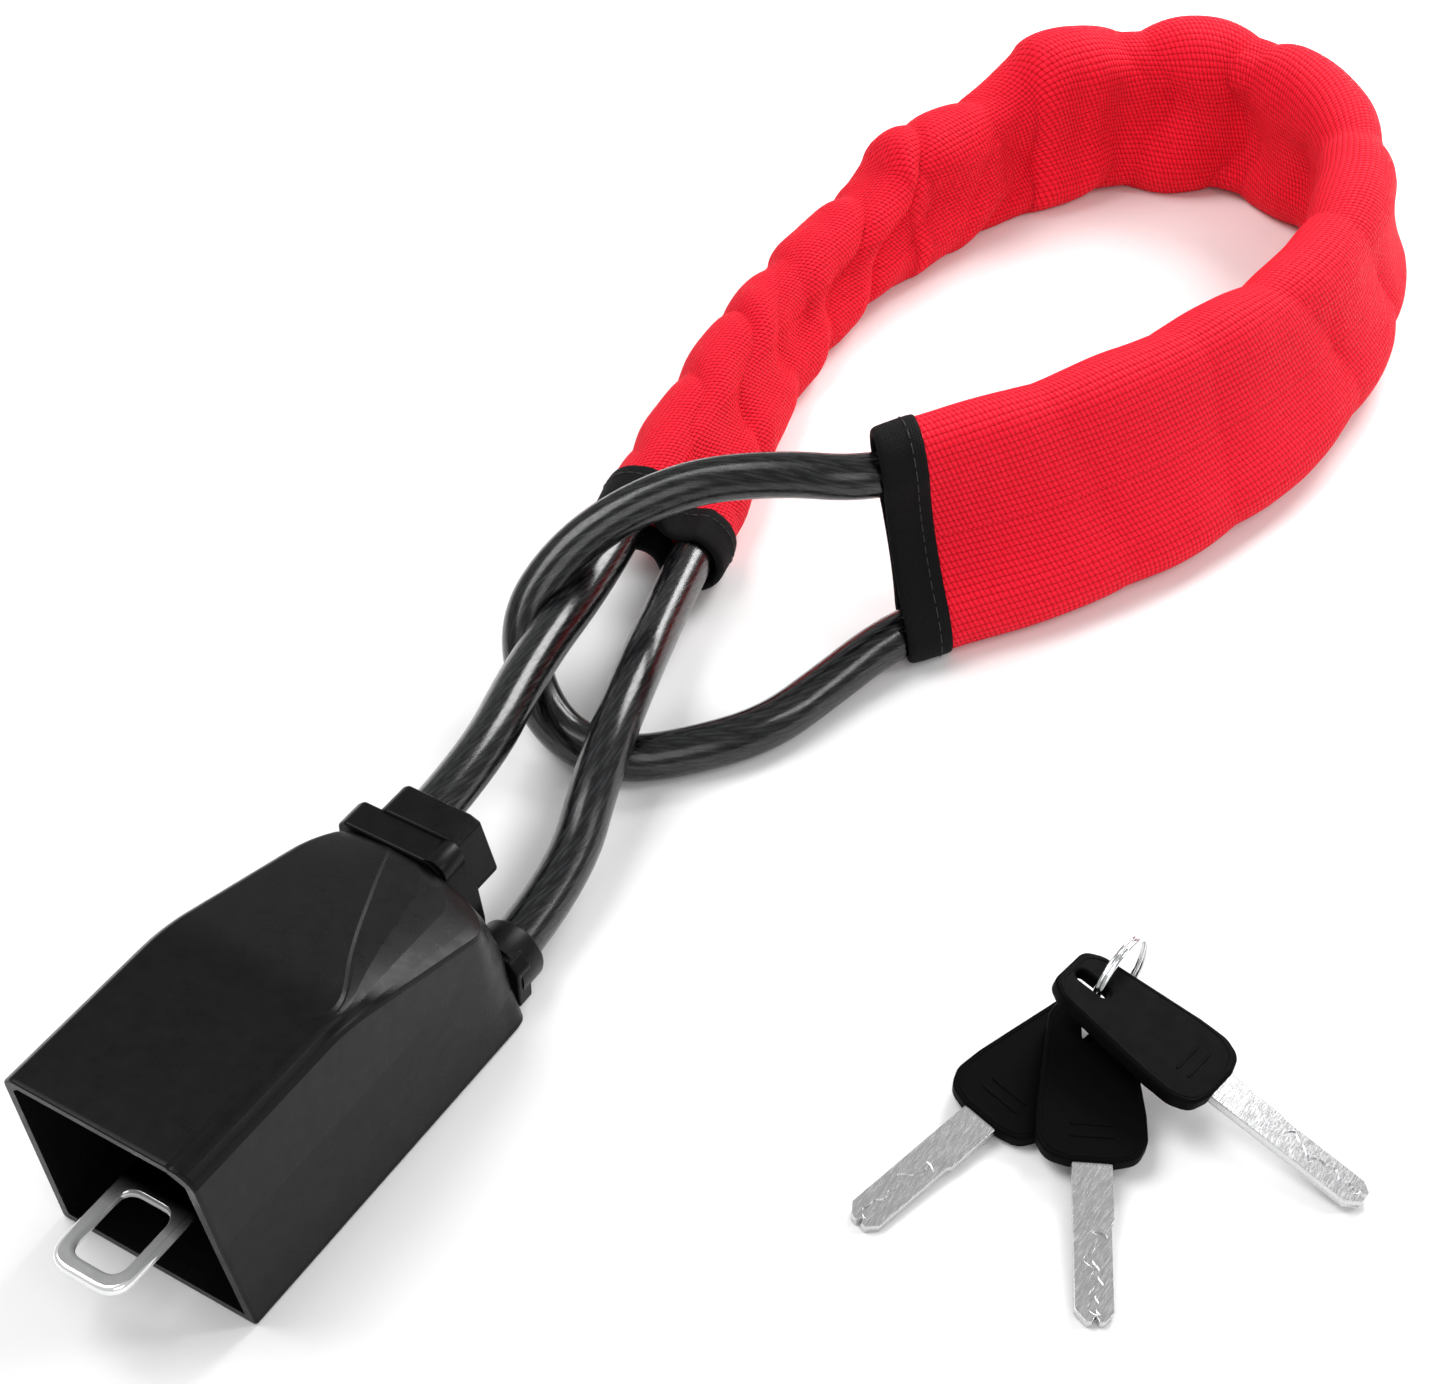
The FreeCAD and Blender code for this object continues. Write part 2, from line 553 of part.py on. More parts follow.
def flat_plate(outline, thick):
    face = Part.Face(polygon([(x, y, -thick / 2) for x, y in outline]))
    return face.extrude(Vector(0, 0, thick))


def upright_edges(shape, x_from, x_to):
    found = []
    for edge in shape.Edges:
        box = edge.BoundBox
        if box.ZLength > 1 and box.XLength < 0.01 and box.YLength < 0.01 and x_from < box.XMin < x_to:
            found.append(edge)
    return found


def key_head():
    """Flat moulded head, wider near the blade, with a long slot for the ring."""
    length = KEY_LONG - BLADE_LONG
    half = [(0.0, HEAD_END_HALF - 2.6), (4.0, HEAD_END_HALF), (30.0, HEAD_HALF - 0.2),
            (length - 6.0, HEAD_HALF), (length - 1.4, HEAD_HALF - 2.3), (length, HEAD_HALF - 7.5)]
    outline = [(x, -y) for x, y in half] + [(x, y) for x, y in half[::-1]]
    head = flat_plate(outline, HEAD_THICK)
    head = head.makeFillet(2.0, upright_edges(head, -1, 5) + upright_edges(head, 36, 44))
    rims = [e for e in head.Edges if e.BoundBox.ZLength < 0.01]
    head = head.makeFillet(0.6, rims)
    reach = (SLOT_LONG - SLOT_WIDE) / 2
    slot = Part.makeBox(2 * reach, SLOT_WIDE, 8, Vector(SLOT_BACK - reach, -SLOT_WIDE / 2, -4))
    for x in (SLOT_BACK - reach, SLOT_BACK + reach):
        slot = slot.fuse(Part.makeCylinder(SLOT_WIDE / 2, 8, Vector(x, 0, -4)))
    head = head.cut(slot)
    for x in ENGRAVED_X:
        for side in (-1, 1):
            line = Part.makeBox(0.5, 10, 0.3, Vector(x, -5, side * HEAD_THICK / 2 - 0.15))
            head = head.cut(line)
    tang = Part.makeBox(TANG, 2 * TANG_HALF, BLADE_THICK, Vector(length - TANG, -TANG_HALF, -BLADE_THICK / 2))
    return head.cut(tang)


def key_blade():
    """Steel blade with a stepped edge, a notched tip and a wavy track each side."""
    start = KEY_LONG - BLADE_LONG
    tip = KEY_LONG
    step = start + 15.0
    outline = [(start - TANG, -TANG_HALF), (start, -TANG_HALF), (start, -BLADE_HALF),
               (tip - 3.0, -BLADE_HALF), (tip, -BLADE_HALF + 2.6), (tip, -0.8), (tip - 1.6, 0.0),
               (tip, 0.8), (tip, BLADE_HALF - 2.8), (tip - 2.6, BLADE_HALF - 0.6),
               (step, BLADE_HALF - 0.6), (step - 1.0, BLADE_HALF), (start, BLADE_HALF),
               (start, TANG_HALF), (start - TANG, TANG_HALF)]
    blade = flat_plate(outline, BLADE_THICK)
    middle = []
    for i in range(TRACK_STEPS + 1):
        x = step + 1.5 + (tip - 3.0 - step) * i / TRACK_STEPS
        middle.append((x, TRACK_SWAY * math.sin(4.2 * math.pi * i / TRACK_STEPS)))
    track = [(x, y - 0.7) for x, y in middle] + [(x, y + 0.7) for x, y in middle[::-1]]
    groove = flat_plate(track, 0.8)
    for side in (-1, 1):
        blade = blade.cut(groove.translated(Vector(0, 0, side * BLADE_THICK / 2)))
    return blade


def make_keys():
    head = key_head()
    blade = key_blade()
    for i, key in enumerate(KEYS):
        save("key_head_%d" % (i + 1), place_key(head, key))
        save("key_blade_%d" % (i + 1), place_key(blade, key))


def make_key_ring():
    """Split ring: two closed turns of wire side by side, each cut at one place."""
    centre = Vector(*RING_CENTRE)
    normal = Vector(*RING_NORMAL).normalize()
    ring = None
    for side in (-1, 1):
        turn = Part.makeTorus(RING_R, RING_WIRE, centre + normal * (side * (RING_WIRE - 0.02)), normal)
        ring = turn if ring is None else ring.fuse(turn)
    save("key_ring", ring)


# ---- build --------------------------------------------------------------
make_hood()
make_screws()
make_rear_cap()
make_collar()
make_core()
make_tongue()
make_ferrules()
make_plunger()
make_return_spring()
make_barrel()
make_cable()
make_sleeve()
make_keys()
make_key_ring()
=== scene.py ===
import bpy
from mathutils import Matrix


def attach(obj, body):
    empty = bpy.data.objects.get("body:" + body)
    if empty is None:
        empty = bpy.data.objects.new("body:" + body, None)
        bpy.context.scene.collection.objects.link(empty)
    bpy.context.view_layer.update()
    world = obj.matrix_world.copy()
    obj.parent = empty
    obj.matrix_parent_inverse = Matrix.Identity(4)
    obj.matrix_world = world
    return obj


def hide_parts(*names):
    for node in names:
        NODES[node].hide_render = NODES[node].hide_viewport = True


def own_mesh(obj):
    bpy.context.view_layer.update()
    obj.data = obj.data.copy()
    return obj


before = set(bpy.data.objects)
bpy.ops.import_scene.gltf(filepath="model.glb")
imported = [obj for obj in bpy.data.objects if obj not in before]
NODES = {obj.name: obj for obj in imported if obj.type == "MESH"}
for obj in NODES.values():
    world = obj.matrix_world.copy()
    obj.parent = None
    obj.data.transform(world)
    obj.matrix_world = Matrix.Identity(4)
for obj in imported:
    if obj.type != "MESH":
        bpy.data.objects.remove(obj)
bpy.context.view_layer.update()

import math

import bpy
import numpy as np
from mathutils import Matrix, Vector

# Looks for the seat-belt cable lock.  Lengths are in millimetres in the tables
# and metres in Blender, in the same frame as the CAD.
MM = 0.001

CABLE_ROUTE = [
    (42, 11, 31), (83, 11, 31), (125, 24, 27.5), (162, 31, 23),
    (201, 41.5, 19.5), (251.5, 50, 20.5), (304, 55.5, 22.5), (354, 52, 26), (400.5, 39, 34),
    (435, 16, 42), (451, -18, 43), (438.5, -51.5, 41), (406, -72, 41), (362, -78.5, 41.5),
    (312, -71.5, 45.3), (262.5, -53, 46.3), (226, -33, 46.8), (207, -22.3, 50),
    (199, -4, 49.5), (188, 15, 46.5), (172, 28, 41.5), (157, 36, 33.5), (142, 38, 23.5),
    (130.5, 28, 13.5), (124.5, 14, 7.5), (127, -2, 6), (139, -14.5, 6),
    (156, -26.5, 6), (177, -31, 6),
    (198, -36, 8), (217, -45.4, 9), (257, -69.5, 8.3), (308, -88.5, 8.3), (362, -92, 8.3),
    (408.5, -80, 8.3), (441.5, -53.5, 8.3), (451, -18, 8.3), (433, 14, 8.3), (399.5, 37, 8.3),
    (354, 49.3, 8.3), (304, 51, 8.6), (253.5, 40, 8.7),
    (205, 24.5, 9.8), (172, 14, 15), (142, 3.5, 20.5), (112, -6, 20.5), (80, -17, 10),
    (42, -17, 10),
]
CABLE_R = 6.0

# sleeve: x, y, lean, flat width, thickness at each station
SLEEVE = [
    (217, -36, 22, 62, 15), (259, -61, 26, 61, 17), (310, -79.5, 26, 58, 18),
    (362, -85, 22, 53, 19.5), (407, -76, 14, 51.5, 20.5), (440, -52.5, 6, 50, 20.5),
    (451, -18, 0, 51, 20), (434, 15, -4, 50, 20), (420, 27, -4, 51, 20),
    (409.5, 33.5, -4, 50, 20), (399.5, 38.5, -4, 43, 18.5), (364, 48.5, -7, 41, 18),
    (355, 50.4, -8, 40, 18), (345.5, 51.6, -9, 34.5, 17.5), (304, 53, -18, 32, 17),
    (252.5, 45, -38, 33, 17),
    (203, 33, -60, 36, 18),
]

# keys: slot centre, heading, dip and roll, as in the CAD
KEYS = [
    (111.94, -139.03, 4.78, 166.2, 2.53, -4.49),
    (109.03, -140.62, 8.73, -151.4, 5.69, -2.34),
    (112.19, -138.71, 18.53, -97.3, 12.73, -8.48),
]
SLOT_BACK = 7.0
RING_CENTRE = (121.99, -140.89, 12.38)
RING_NORMAL = (0.0964, 0.9924, 0.0759)
RING_R = 11.66
RING_WIRE = 0.55


# ---- node helpers -------------------------------------------------------
class Shader:
    """A material under construction, with one Principled node."""

    def __init__(self, name, **values):
        self.mat = bpy.data.materials.new(name)
        self.mat.use_nodes = True
        self.tree = self.mat.node_tree
        self.bsdf = next(n for n in self.tree.nodes if n.type == "BSDF_PRINCIPLED")
        self.out = next(n for n in self.tree.nodes if n.type == "OUTPUT_MATERIAL")
        for key, value in values.items():
            self.set(key.replace("_", " "), value)

    def set(self, key, value):
        socket = self.bsdf.inputs[key]
        if hasattr(value, "is_linked") or hasattr(value, "links"):
            self.tree.links.new(value, socket)
        else:
            socket.default_value = value

    def node(self, kind, settings=None, **inputs):
        node = self.tree.nodes.new(kind)
        for key, value in (settings or {}).items():
            setattr(node, key, value)
        for key, value in inputs.items():
            name = key.replace("_", " ")
            socket = node.inputs[int(key[1:])] if key[0] == "i" and key[1:].isdigit() else node.inputs[name]
            if hasattr(value, "is_linked"):
                self.tree.links.new(value, socket)
            else:
                socket.default_value = value
        return node

    def math(self, operation, a, b=0.0):
        return self.node("ShaderNodeMath", {"operation": operation}, i0=a, i1=b).outputs[0]

    def noise(self, vector, scale, detail=3.0, rough=0.55):
        return self.node("ShaderNodeTexNoise", Vector=vector, Scale=scale, Detail=detail,
                         Roughness=rough).outputs["Fac"]

    def coords(self, kind="Object"):
        return self.node("ShaderNodeTexCoord").outputs[kind]

    def remap(self, value, low, high, to_low, to_high):
        node = self.node("ShaderNodeMapRange", i0=value, i1=low, i2=high, i3=to_low, i4=to_high)
        return node.outputs[0]

    def mix(self, factor, a, b):
        node = self.node("ShaderNodeMix", {"data_type": "RGBA"})
        for socket, value in ((node.inputs[0], factor), (node.inputs[6], a), (node.inputs[7], b)):
            if hasattr(value, "is_linked"):
                self.tree.links.new(value, socket)
            else:
                socket.default_value = value
        return node.outputs[2]

    def bump(self, height, distance, strength=1.0):
        node = self.node("ShaderNodeBump", Height=height, Distance=distance, Strength=strength)
        self.tree.links.new(node.outputs[0], self.bsdf.inputs["Normal"])
        return node


def rgba(r, g, b):
    return (r, g, b, 1.0)


def moulded_plastic(name, tone, rough, grain=0.00006, shine=0.11):
    """Black moulded plastic: fine spark grain, faint flow marks, rubbed patches."""
    s = Shader(name)
    where = s.coords()
    flow = s.noise(where, 55.0, 4.0)
    rubbed = s.noise(where, 240.0, 5.0, 0.65)
    low = rgba(tone, tone, tone * 1.05)
    high = rgba(tone * 1.7, tone * 1.7, tone * 1.8)
    s.set("Base Color", s.mix(flow, low, high))
    s.set("Roughness", s.remap(rubbed, 0.35, 0.7, rough - 0.05, rough + 0.08))
    s.set("Specular IOR Level", shine)
    fine = s.noise(where, 4200.0, 2.0, 0.5)
    s.bump(fine, grain, 0.5)
    return s.mat


def metal(name, tone, rough, streak=None, scratch=0.00001):
    """Bare or plated metal with directional marks and small scratches."""
    s = Shader(name, Metallic=1.0)
    where = s.coords()
    stretch = s.node("ShaderNodeMapping", Vector=where, Scale=streak or (900.0, 900.0, 900.0)).outputs[0]
    marks = s.noise(stretch, 1.0, 4.0, 0.6)
    broad = s.noise(where, 90.0, 3.0)
    low = rgba(*(0.82 * c for c in tone))
    s.set("Base Color", s.mix(broad, low, rgba(*tone)))
    s.set("Roughness", s.remap(marks, 0.3, 0.7, rough * 0.75, rough * 1.35))
    s.bump(marks, scratch, 0.35)
    return s.mat


def plated_tongue():
    """Bright plating at the tip; further in, inside the hood, the colour is painted near black as shade."""
    s = Shader("tongue_chrome")
    where = s.coords()
    inward = s.node("ShaderNodeSeparateXYZ", Vector=where).outputs[0]
    hood_shade_mask = s.remap(inward, -0.0535, -0.0455, 0.0, 1.0)
    broad = s.noise(where, 90.0, 3.0)
    tip = s.mix(broad, rgba(0.88, 0.885, 0.89), rgba(0.98, 0.985, 0.99))
    # painted shade: the part of the plate inside the hood gets a near-black colour standing for the shade
    # there
    painted_hood_shade = s.mix(broad, rgba(0.10, 0.10, 0.105), rgba(0.16, 0.16, 0.165))
    s.set("Base Color", s.mix(hood_shade_mask, tip, painted_hood_shade))
    s.set("Metallic", s.math("ADD", s.math("MULTIPLY", hood_shade_mask, 0.4), 0.6))
    s.set("Roughness", s.remap(s.noise(where, 700.0, 4.0), 0.3, 0.7, 0.08, 0.16))
    s.bump(s.noise(where, 500.0, 3.0), 0.000006, 0.3)
    return s.mat


def smoky_vinyl():
    """See-through grey vinyl over the rope."""
    s = Shader("smoky_vinyl")
    where = s.coords()
    haze = s.noise(where, 130.0, 4.0)
    s.set("Base Color", s.mix(haze, rgba(0.075, 0.078, 0.083), rgba(0.13, 0.134, 0.14)))
    s.set("Transmission Weight", 1.0)
    s.set("IOR", 1.42)
    s.set("Coat Weight", 0.2)
    s.set("Coat Roughness", 0.16)
    s.set("Roughness", s.remap(s.noise(where, 600.0, 3.0), 0.3, 0.7, 0.16, 0.26))
    s.bump(s.noise(where, 260.0, 2.0), 0.00008, 0.35)
    return s.mat


def rope_steel():
    """Strand made of many thin wires that run along it, with painted shade in the grooves between the
    wires.
    """
    s = Shader("rope_steel", Metallic=0.85)
    uv = s.coords("UV")
    split = s.node("ShaderNodeSeparateXYZ", Vector=uv)
    around = s.math("MULTIPLY", split.outputs[1], 7.0)
    lay = s.math("ADD", around, s.math("MULTIPLY", split.outputs[0], 0.22))
    wires = s.math("ABSOLUTE", s.math("SINE", s.math("MULTIPLY", lay, math.pi)))
    tone = s.noise(s.coords(), 160.0, 3.0)
    light = s.mix(tone, rgba(0.15, 0.154, 0.158), rgba(0.26, 0.264, 0.27))
    # painted shade: the colour drops to near black in the grooves between the wires
    s.set("Base Color", s.mix(s.math("POWER", wires, 0.6), rgba(0.015, 0.015, 0.016), light))
    s.set("Roughness", 0.36)
    s.bump(wires, 0.00025, 0.9)
    return s.mat


def weave(s, pitch_u, pitch_v, tilt=0.0):
    """Plain-weave height from the mesh's own UV, whose unit is one millimetre."""
    split = s.node("ShaderNodeSeparateXYZ", Vector=s.coords("UV"))
    u = s.math("ADD", split.outputs[0], s.math("MULTIPLY", split.outputs[1], tilt))
    a = s.math("MULTIPLY", u, math.pi / pitch_u)
    b = s.math("MULTIPLY", split.outputs[1], math.pi / pitch_v)
    sin_a = s.math("SINE", a)
    sin_b = s.math("SINE", b)
    over = s.math("GREATER_THAN", s.math("MULTIPLY", sin_a, sin_b), 0.0)
    warp = s.math("POWER", s.math("ABSOLUTE", sin_a), 0.55)
    weft = s.math("POWER", s.math("ABSOLUTE", sin_b), 0.55)
    dip_a = s.math("MULTIPLY", s.math("ABSOLUTE", sin_b), 0.55)
    dip_b = s.math("MULTIPLY", s.math("ABSOLUTE", sin_a), 0.55)
    arch_a = s.math("MULTIPLY", warp, s.math("ADD", dip_a, 0.45))
    arch_b = s.math("MULTIPLY", weft, s.math("ADD", dip_b, 0.45))
    top = s.math("MULTIPLY", arch_a, over)
    rest = s.math("MULTIPLY", arch_b, s.math("SUBTRACT", 1.0, over))
    return s.math("ADD", top, rest)


def red_cloth():
    """Red plain-woven nylon: threads and slubs, with painted shade in the low points of the weave, varied
    in broad patches.
    """
    s = Shader("red_cloth")
    height = weave(s, 1.6, 1.6, 0.45)
    where = s.coords()
    slub = s.noise(where, 420.0, 4.0, 0.7)
    broad = s.noise(where, 26.0, 3.0)
    thread_red = s.mix(slub, rgba(0.90, 0.006, 0.022), rgba(1.0, 0.020, 0.050))
    # painted shade: a darker red for the low points of the weave, standing for the shade between threads
    deep = s.mix(broad, rgba(0.50, 0.0015, 0.007), rgba(0.62, 0.003, 0.012))
    s.set("Base Color", s.mix(s.remap(height, 0.15, 0.62, 0.0, 1.0), deep, thread_red))
    s.set("Roughness", s.remap(slub, 0.3, 0.7, 0.58, 0.78))
    s.set("Specular IOR Level", 0.08)
    s.set("Sheen Weight", 0.02)
    s.set("Sheen Roughness", 0.4)
    s.bump(height, 0.0006, 1.0)
    return s.mat


def black_tape():
    """Finely woven black tape with a little lint, and painted highlight on the raised threads."""
    s = Shader("black_tape")
    height = weave(s, 0.7, 0.55)
    where = s.coords()
    lint = s.noise(where, 900.0, 4.0, 0.7)
    # lint noise times weave height: partly lint, partly painted highlight on the tops of the threads
    lint_and_thread_top_light = s.math("MULTIPLY", height, lint)
    s.set("Base Color", s.mix(lint_and_thread_top_light, rgba(0.0015, 0.0015, 0.0018), rgba(0.011, 0.011, 0.012)))
    s.set("Roughness", s.remap(lint, 0.3, 0.7, 0.6, 0.85))
    s.set("Specular IOR Level", 0.1)
    s.bump(height, 0.0002, 0.7)
    return s.mat


def stitch_thread():
    """Twisted black sewing thread."""
    s = Shader("stitch_thread")
    twist = s.noise(s.coords(), 1500.0, 3.0)
    s.set("Base Color", s.mix(twist, rgba(0.006, 0.006, 0.007), rgba(0.04, 0.04, 0.042)))
    s.set("Roughness", 0.6)
    s.bump(twist, 0.0001, 0.6)
    return s.mat


def pale_floor():
    """Plain pale floor with a very faint grain."""
    s = Shader("pale_floor")
    grain = s.noise(s.coords(), 30.0, 3.0)
    s.set("Base Color", s.mix(grain, rgba(0.93, 0.93, 0.93), rgba(0.95, 0.95, 0.95)))
    s.set("Roughness", 0.75)
    s.set("Specular IOR Level", 0.1)
    return s.mat


# ---- mesh helpers -------------------------------------------------------
def new_object(name, mesh, material, body="lock_head", nodes=()):
    """A piece that rides on a body, in place of the CAD nodes it stands for."""
    obj = bpy.data.objects.new(name, mesh)
    bpy.context.scene.collection.objects.link(obj)
    if material:
        mesh.materials.clear()
        mesh.materials.append(material)
    if body:
        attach(obj, body)
    if nodes:
        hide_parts(*nodes)
    return obj


def smooth(mesh, angle=None):
    """Smooth shading, kept sharp at edges above the angle in degrees."""
    mesh.polygons.foreach_set("use_smooth", [True] * len(mesh.polygons))
    if angle is not None:
        mesh.set_sharp_from_angle(angle=math.radians(angle))


def grid_mesh(name, rows, closed, caps=False):
    """Quads over rows of points (rows x columns x 3, in metres)."""
    rows = np.asarray(rows, float)
    n, m, _ = rows.shape
    faces = []
    last = m if closed else m - 1
    for i in range(n - 1):
        for j in range(last):
            k = (j + 1) % m
            faces.append((i * m + j, i * m + k, (i + 1) * m + k, (i + 1) * m + j))
    if caps:
        faces.append(tuple(range(m))[::-1])
        faces.append(tuple((n - 1) * m + j for j in range(m)))
    mesh = bpy.data.meshes.new(name)
    mesh.from_pydata([tuple(p) for p in rows.reshape(-1, 3)], [], faces)
    mesh.update()
    return mesh


def grid_uv(mesh, n, m, u_values, v_values):
    """UV in millimetres for a closed grid made by grid_mesh without caps."""
    layer = mesh.uv_layers.new(name="UVMap")
    data = np.zeros((len(mesh.loops), 2), np.float32)
    at = 0
    for i in range(n - 1):
        for j in range(m):
            data[at:at + 4] = ((u_values[i], v_values[j]), (u_values[i], v_values[j + 1]),
                               (u_values[i + 1], v_values[j + 1]), (u_values[i + 1], v_values[j]))
            at += 4
    layer.data.foreach_set("uv", data.ravel())


def filled_outline(name, loops, half, bevel, segments=3):
    """A flat plate from closed outlines in the XY plane, in metres, with holes and rounded edges."""
    curve = bpy.data.curves.new(name, "CURVE")
    curve.dimensions = "2D"
    curve.fill_mode = "BOTH"
    curve.extrude = half - bevel
    curve.bevel_depth = bevel
    curve.bevel_resolution = segments
    curve.offset = -bevel
    for loop in loops:
        spline = curve.splines.new("POLY")
        spline.points.add(len(loop) - 1)
        for point, (x, y) in zip(spline.points, loop):
            point.co = (x * MM, y * MM, 0.0, 1.0)
        spline.use_cyclic_u = True
    return to_mesh(curve, name)


def to_mesh(curve, name):
    """The evaluated mesh of a curve, which is then removed."""
    holder = bpy.data.objects.new(name + "_curve", curve)
    bpy.context.scene.collection.objects.link(holder)
    bpy.context.view_layer.update()
    mesh = bpy.data.meshes.new_from_object(holder.evaluated_get(bpy.context.evaluated_depsgraph_get()))
    mesh.name = name
    bpy.data.objects.remove(holder)
    bpy.data.curves.remove(curve)
    return mesh


def rounded(points, radius, steps=6, even=False):
    """A closed outline with each corner rounded; radius may be one number or one per corner.
    With even, every corner gives the same count of points, however straight it is."""
    out = []
    count = len(points)
    for i in range(count):
        r = radius[i] if isinstance(radius, (list, tuple)) else radius
        p0, p1, p2 = (np.array(points[k % count], float) for k in (i - 1, i, i + 1))
        a, b = p0 - p1, p2 - p1
        la, lb = np.linalg.norm(a), np.linalg.norm(b)
        a, b = a / la, b / lb
        half = math.acos(max(-1.0, min(1.0, float(a @ b)))) / 2
        cut = min(r / max(math.tan(half), 1e-6), 0.48 * la, 0.48 * lb)
        if even:
            cut = max(cut, 0.02)
        elif r <= 0 or half > 1.55:
            out.append(tuple(p1))
            continue
        for k in range(steps + 1):
            t = k / steps
            q = (1 - t) ** 2 * (p1 + a * cut) + 2 * t * (1 - t) * p1 + t * t * (p1 + b * cut)
            out.append(tuple(q))
    return out


def joined(name, meshes):
    """Several meshes as one."""
    verts, faces = [], []
    for mesh in meshes:
        base = len(verts)
        verts.extend(tuple(v.co) for v in mesh.vertices)
        faces.extend(tuple(base + k for k in p.vertices) for p in mesh.polygons)
    whole = bpy.data.meshes.new(name)
    whole.from_pydata(verts, [], faces)
    whole.update()
    return whole


def add_bevel(obj, width, segments=3, angle=20.0):
    """Rounded edges as a modifier; width in millimetres."""
    mod = obj.modifiers.new("bevel", "BEVEL")
    mod.width = width * MM
    mod.segments = segments
    mod.limit_method = "ANGLE"
    mod.angle_limit = math.radians(angle)
    mod.harden_normals = True
    return mod


def tube_along(line, radius, sides):
    """Rings of points for a round tube along a line, in metres."""
    line = np.asarray(line, float)
    tangents = np.gradient(line, axis=0)
    tangents /= np.linalg.norm(tangents, axis=1)[:, None]
    normal = np.cross(tangents[0], (0.0, 0.0, 1.0))
    if np.linalg.norm(normal) < 0.1:
        normal = np.cross(tangents[0], (0.0, 1.0, 0.0))
    rows = []
    angles = 2 * np.pi * np.arange(sides) / sides
    for point, tangent in zip(line, tangents):
        normal = normal - tangent * (normal @ tangent)
        normal /= np.linalg.norm(normal)
        side = np.cross(tangent, normal)
        rows.append(point + radius * (np.outer(np.cos(angles), normal) + np.outer(np.sin(angles), side)))
    return rows


# ---- curves along the object -------------------------------------------
def route_curve(name, route):
    """Smooth curve whose control points are the route's, in metres."""
    curve = bpy.data.curves.new(name, "CURVE")
    curve.dimensions = "3D"
    spline = curve.splines.new("NURBS")
    spline.points.add(len(route) - 1)
    for point, (x, y, z) in zip(spline.points, route):
        point.co = (x * MM, y * MM, z * MM, 1.0)
    spline.order_u = 3
    spline.use_endpoint_u = True
    return curve


def spline_points(route):
    """Points read back from the route's own spline, in metres."""
    curve = route_curve("route_line", route)
    curve.resolution_u = 14
    holder = bpy.data.objects.new("route_line", curve)
    mesh = bpy.data.meshes.new_from_object(holder)
    points = np.array([vert.co[:] for vert in mesh.vertices])
    bpy.data.objects.remove(holder)
    bpy.data.meshes.remove(mesh)
    bpy.data.curves.remove(curve)
    return points


def resample(line, step):
    """Points an even step apart along a line, and how far along it each one is."""
    seg = np.linalg.norm(np.diff(line, axis=0), axis=1)
    along = np.concatenate([[0.0], np.cumsum(seg)])
    count = int(round(along[-1] / step)) + 1
    at = np.linspace(0.0, along[-1], count)
    return np.stack([np.interp(at, along, line[:, k]) for k in range(3)], axis=1), at


def carried_frames(line):
    """Tangent and two cross directions carried along a line without twist."""
    tangents = np.gradient(line, axis=0)
    tangents /= np.linalg.norm(tangents, axis=1)[:, None]
    normals = []
    normal = np.cross(tangents[0], (0.0, 1.0, 0.0))
    for tangent in tangents:
        normal = normal - tangent * (normal @ tangent)
        normal /= np.linalg.norm(normal)
        normals.append(normal.copy())
    normals = np.array(normals)
    return tangents, normals, np.cross(tangents, normals)


# ---- cable --------------------------------------------------------------
STRANDS = 6
STRAND_R = 1.62
STRAND_OFFSET = 3.35
LAY = 46.0


def build_cable(cover_mat, rope_mat):
    """The see-through cover along the route, and the twisted strands inside it."""
    curve = route_curve("cable_cover_line", CABLE_ROUTE)
    curve.resolution_u = 10
    curve.bevel_depth = CABLE_R * MM
    curve.bevel_resolution = 8
    curve.use_fill_caps = True
    cover = bpy.data.objects.new("cable", curve)
    bpy.context.scene.collection.objects.link(cover)
    curve.materials.append(cover_mat)
    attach(cover, "lock_head")
    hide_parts("cable_cover")

    line, along = resample(spline_points(CABLE_ROUTE), 2.2 * MM)
    _, normals, sides = carried_frames(line)
    verts, faces, uvs = [], [], []
    around = 12
    for strand in range(STRANDS + 1):
        offset = STRAND_OFFSET * MM if strand < STRANDS else 0.0
        phase = 2 * np.pi * strand / STRANDS
        turn = 2 * np.pi * along / (LAY * MM) + phase
        centre = line + offset * (np.cos(turn)[:, None] * normals + np.sin(turn)[:, None] * sides)
        rows = tube_along(centre, STRAND_R * MM, around)
        base = len(verts)
        for row in rows:
            verts.extend(map(tuple, row))
        n = len(rows)
        for i in range(n - 1):
            for j in range(around):
                k = (j + 1) % around
                faces.append((base + i * around + j, base + i * around + k,
                              base + (i + 1) * around + k, base + (i + 1) * around + j))
                u0, u1 = along[i] / MM, along[i + 1] / MM
                v0, v1 = j / around, (j + 1) / around
                uvs.extend(((u0, v0), (u0, v1), (u1, v1), (u1, v0)))
    mesh = bpy.data.meshes.new("rope_strands")
    mesh.from_pydata(verts, [], faces)
    mesh.update()
    layer = mesh.uv_layers.new(name="UVMap")
    layer.data.foreach_set("uv", np.array(uvs, np.float32).ravel())
    smooth(mesh)
    new_object("rope_strands", mesh, rope_mat, nodes=("cable_rope",))
    return cover


# ---- sleeve -------------------------------------------------------------
SLEEVE_AROUND = 132     # points round the cloth
SLEEVE_ROUND = 130.0    # cloth round the sleeve
CLOTH_GATHER = 1.18     # cloth used for each millimetre of sleeve
CLOTH_THICK = 0.9
CLOTH_LOWEST = 1.15
TAPE_LOWEST = 0.3
REST_GAP = 0.6
CABLE_CLEAR = 0.7
STITCH_R = 0.15


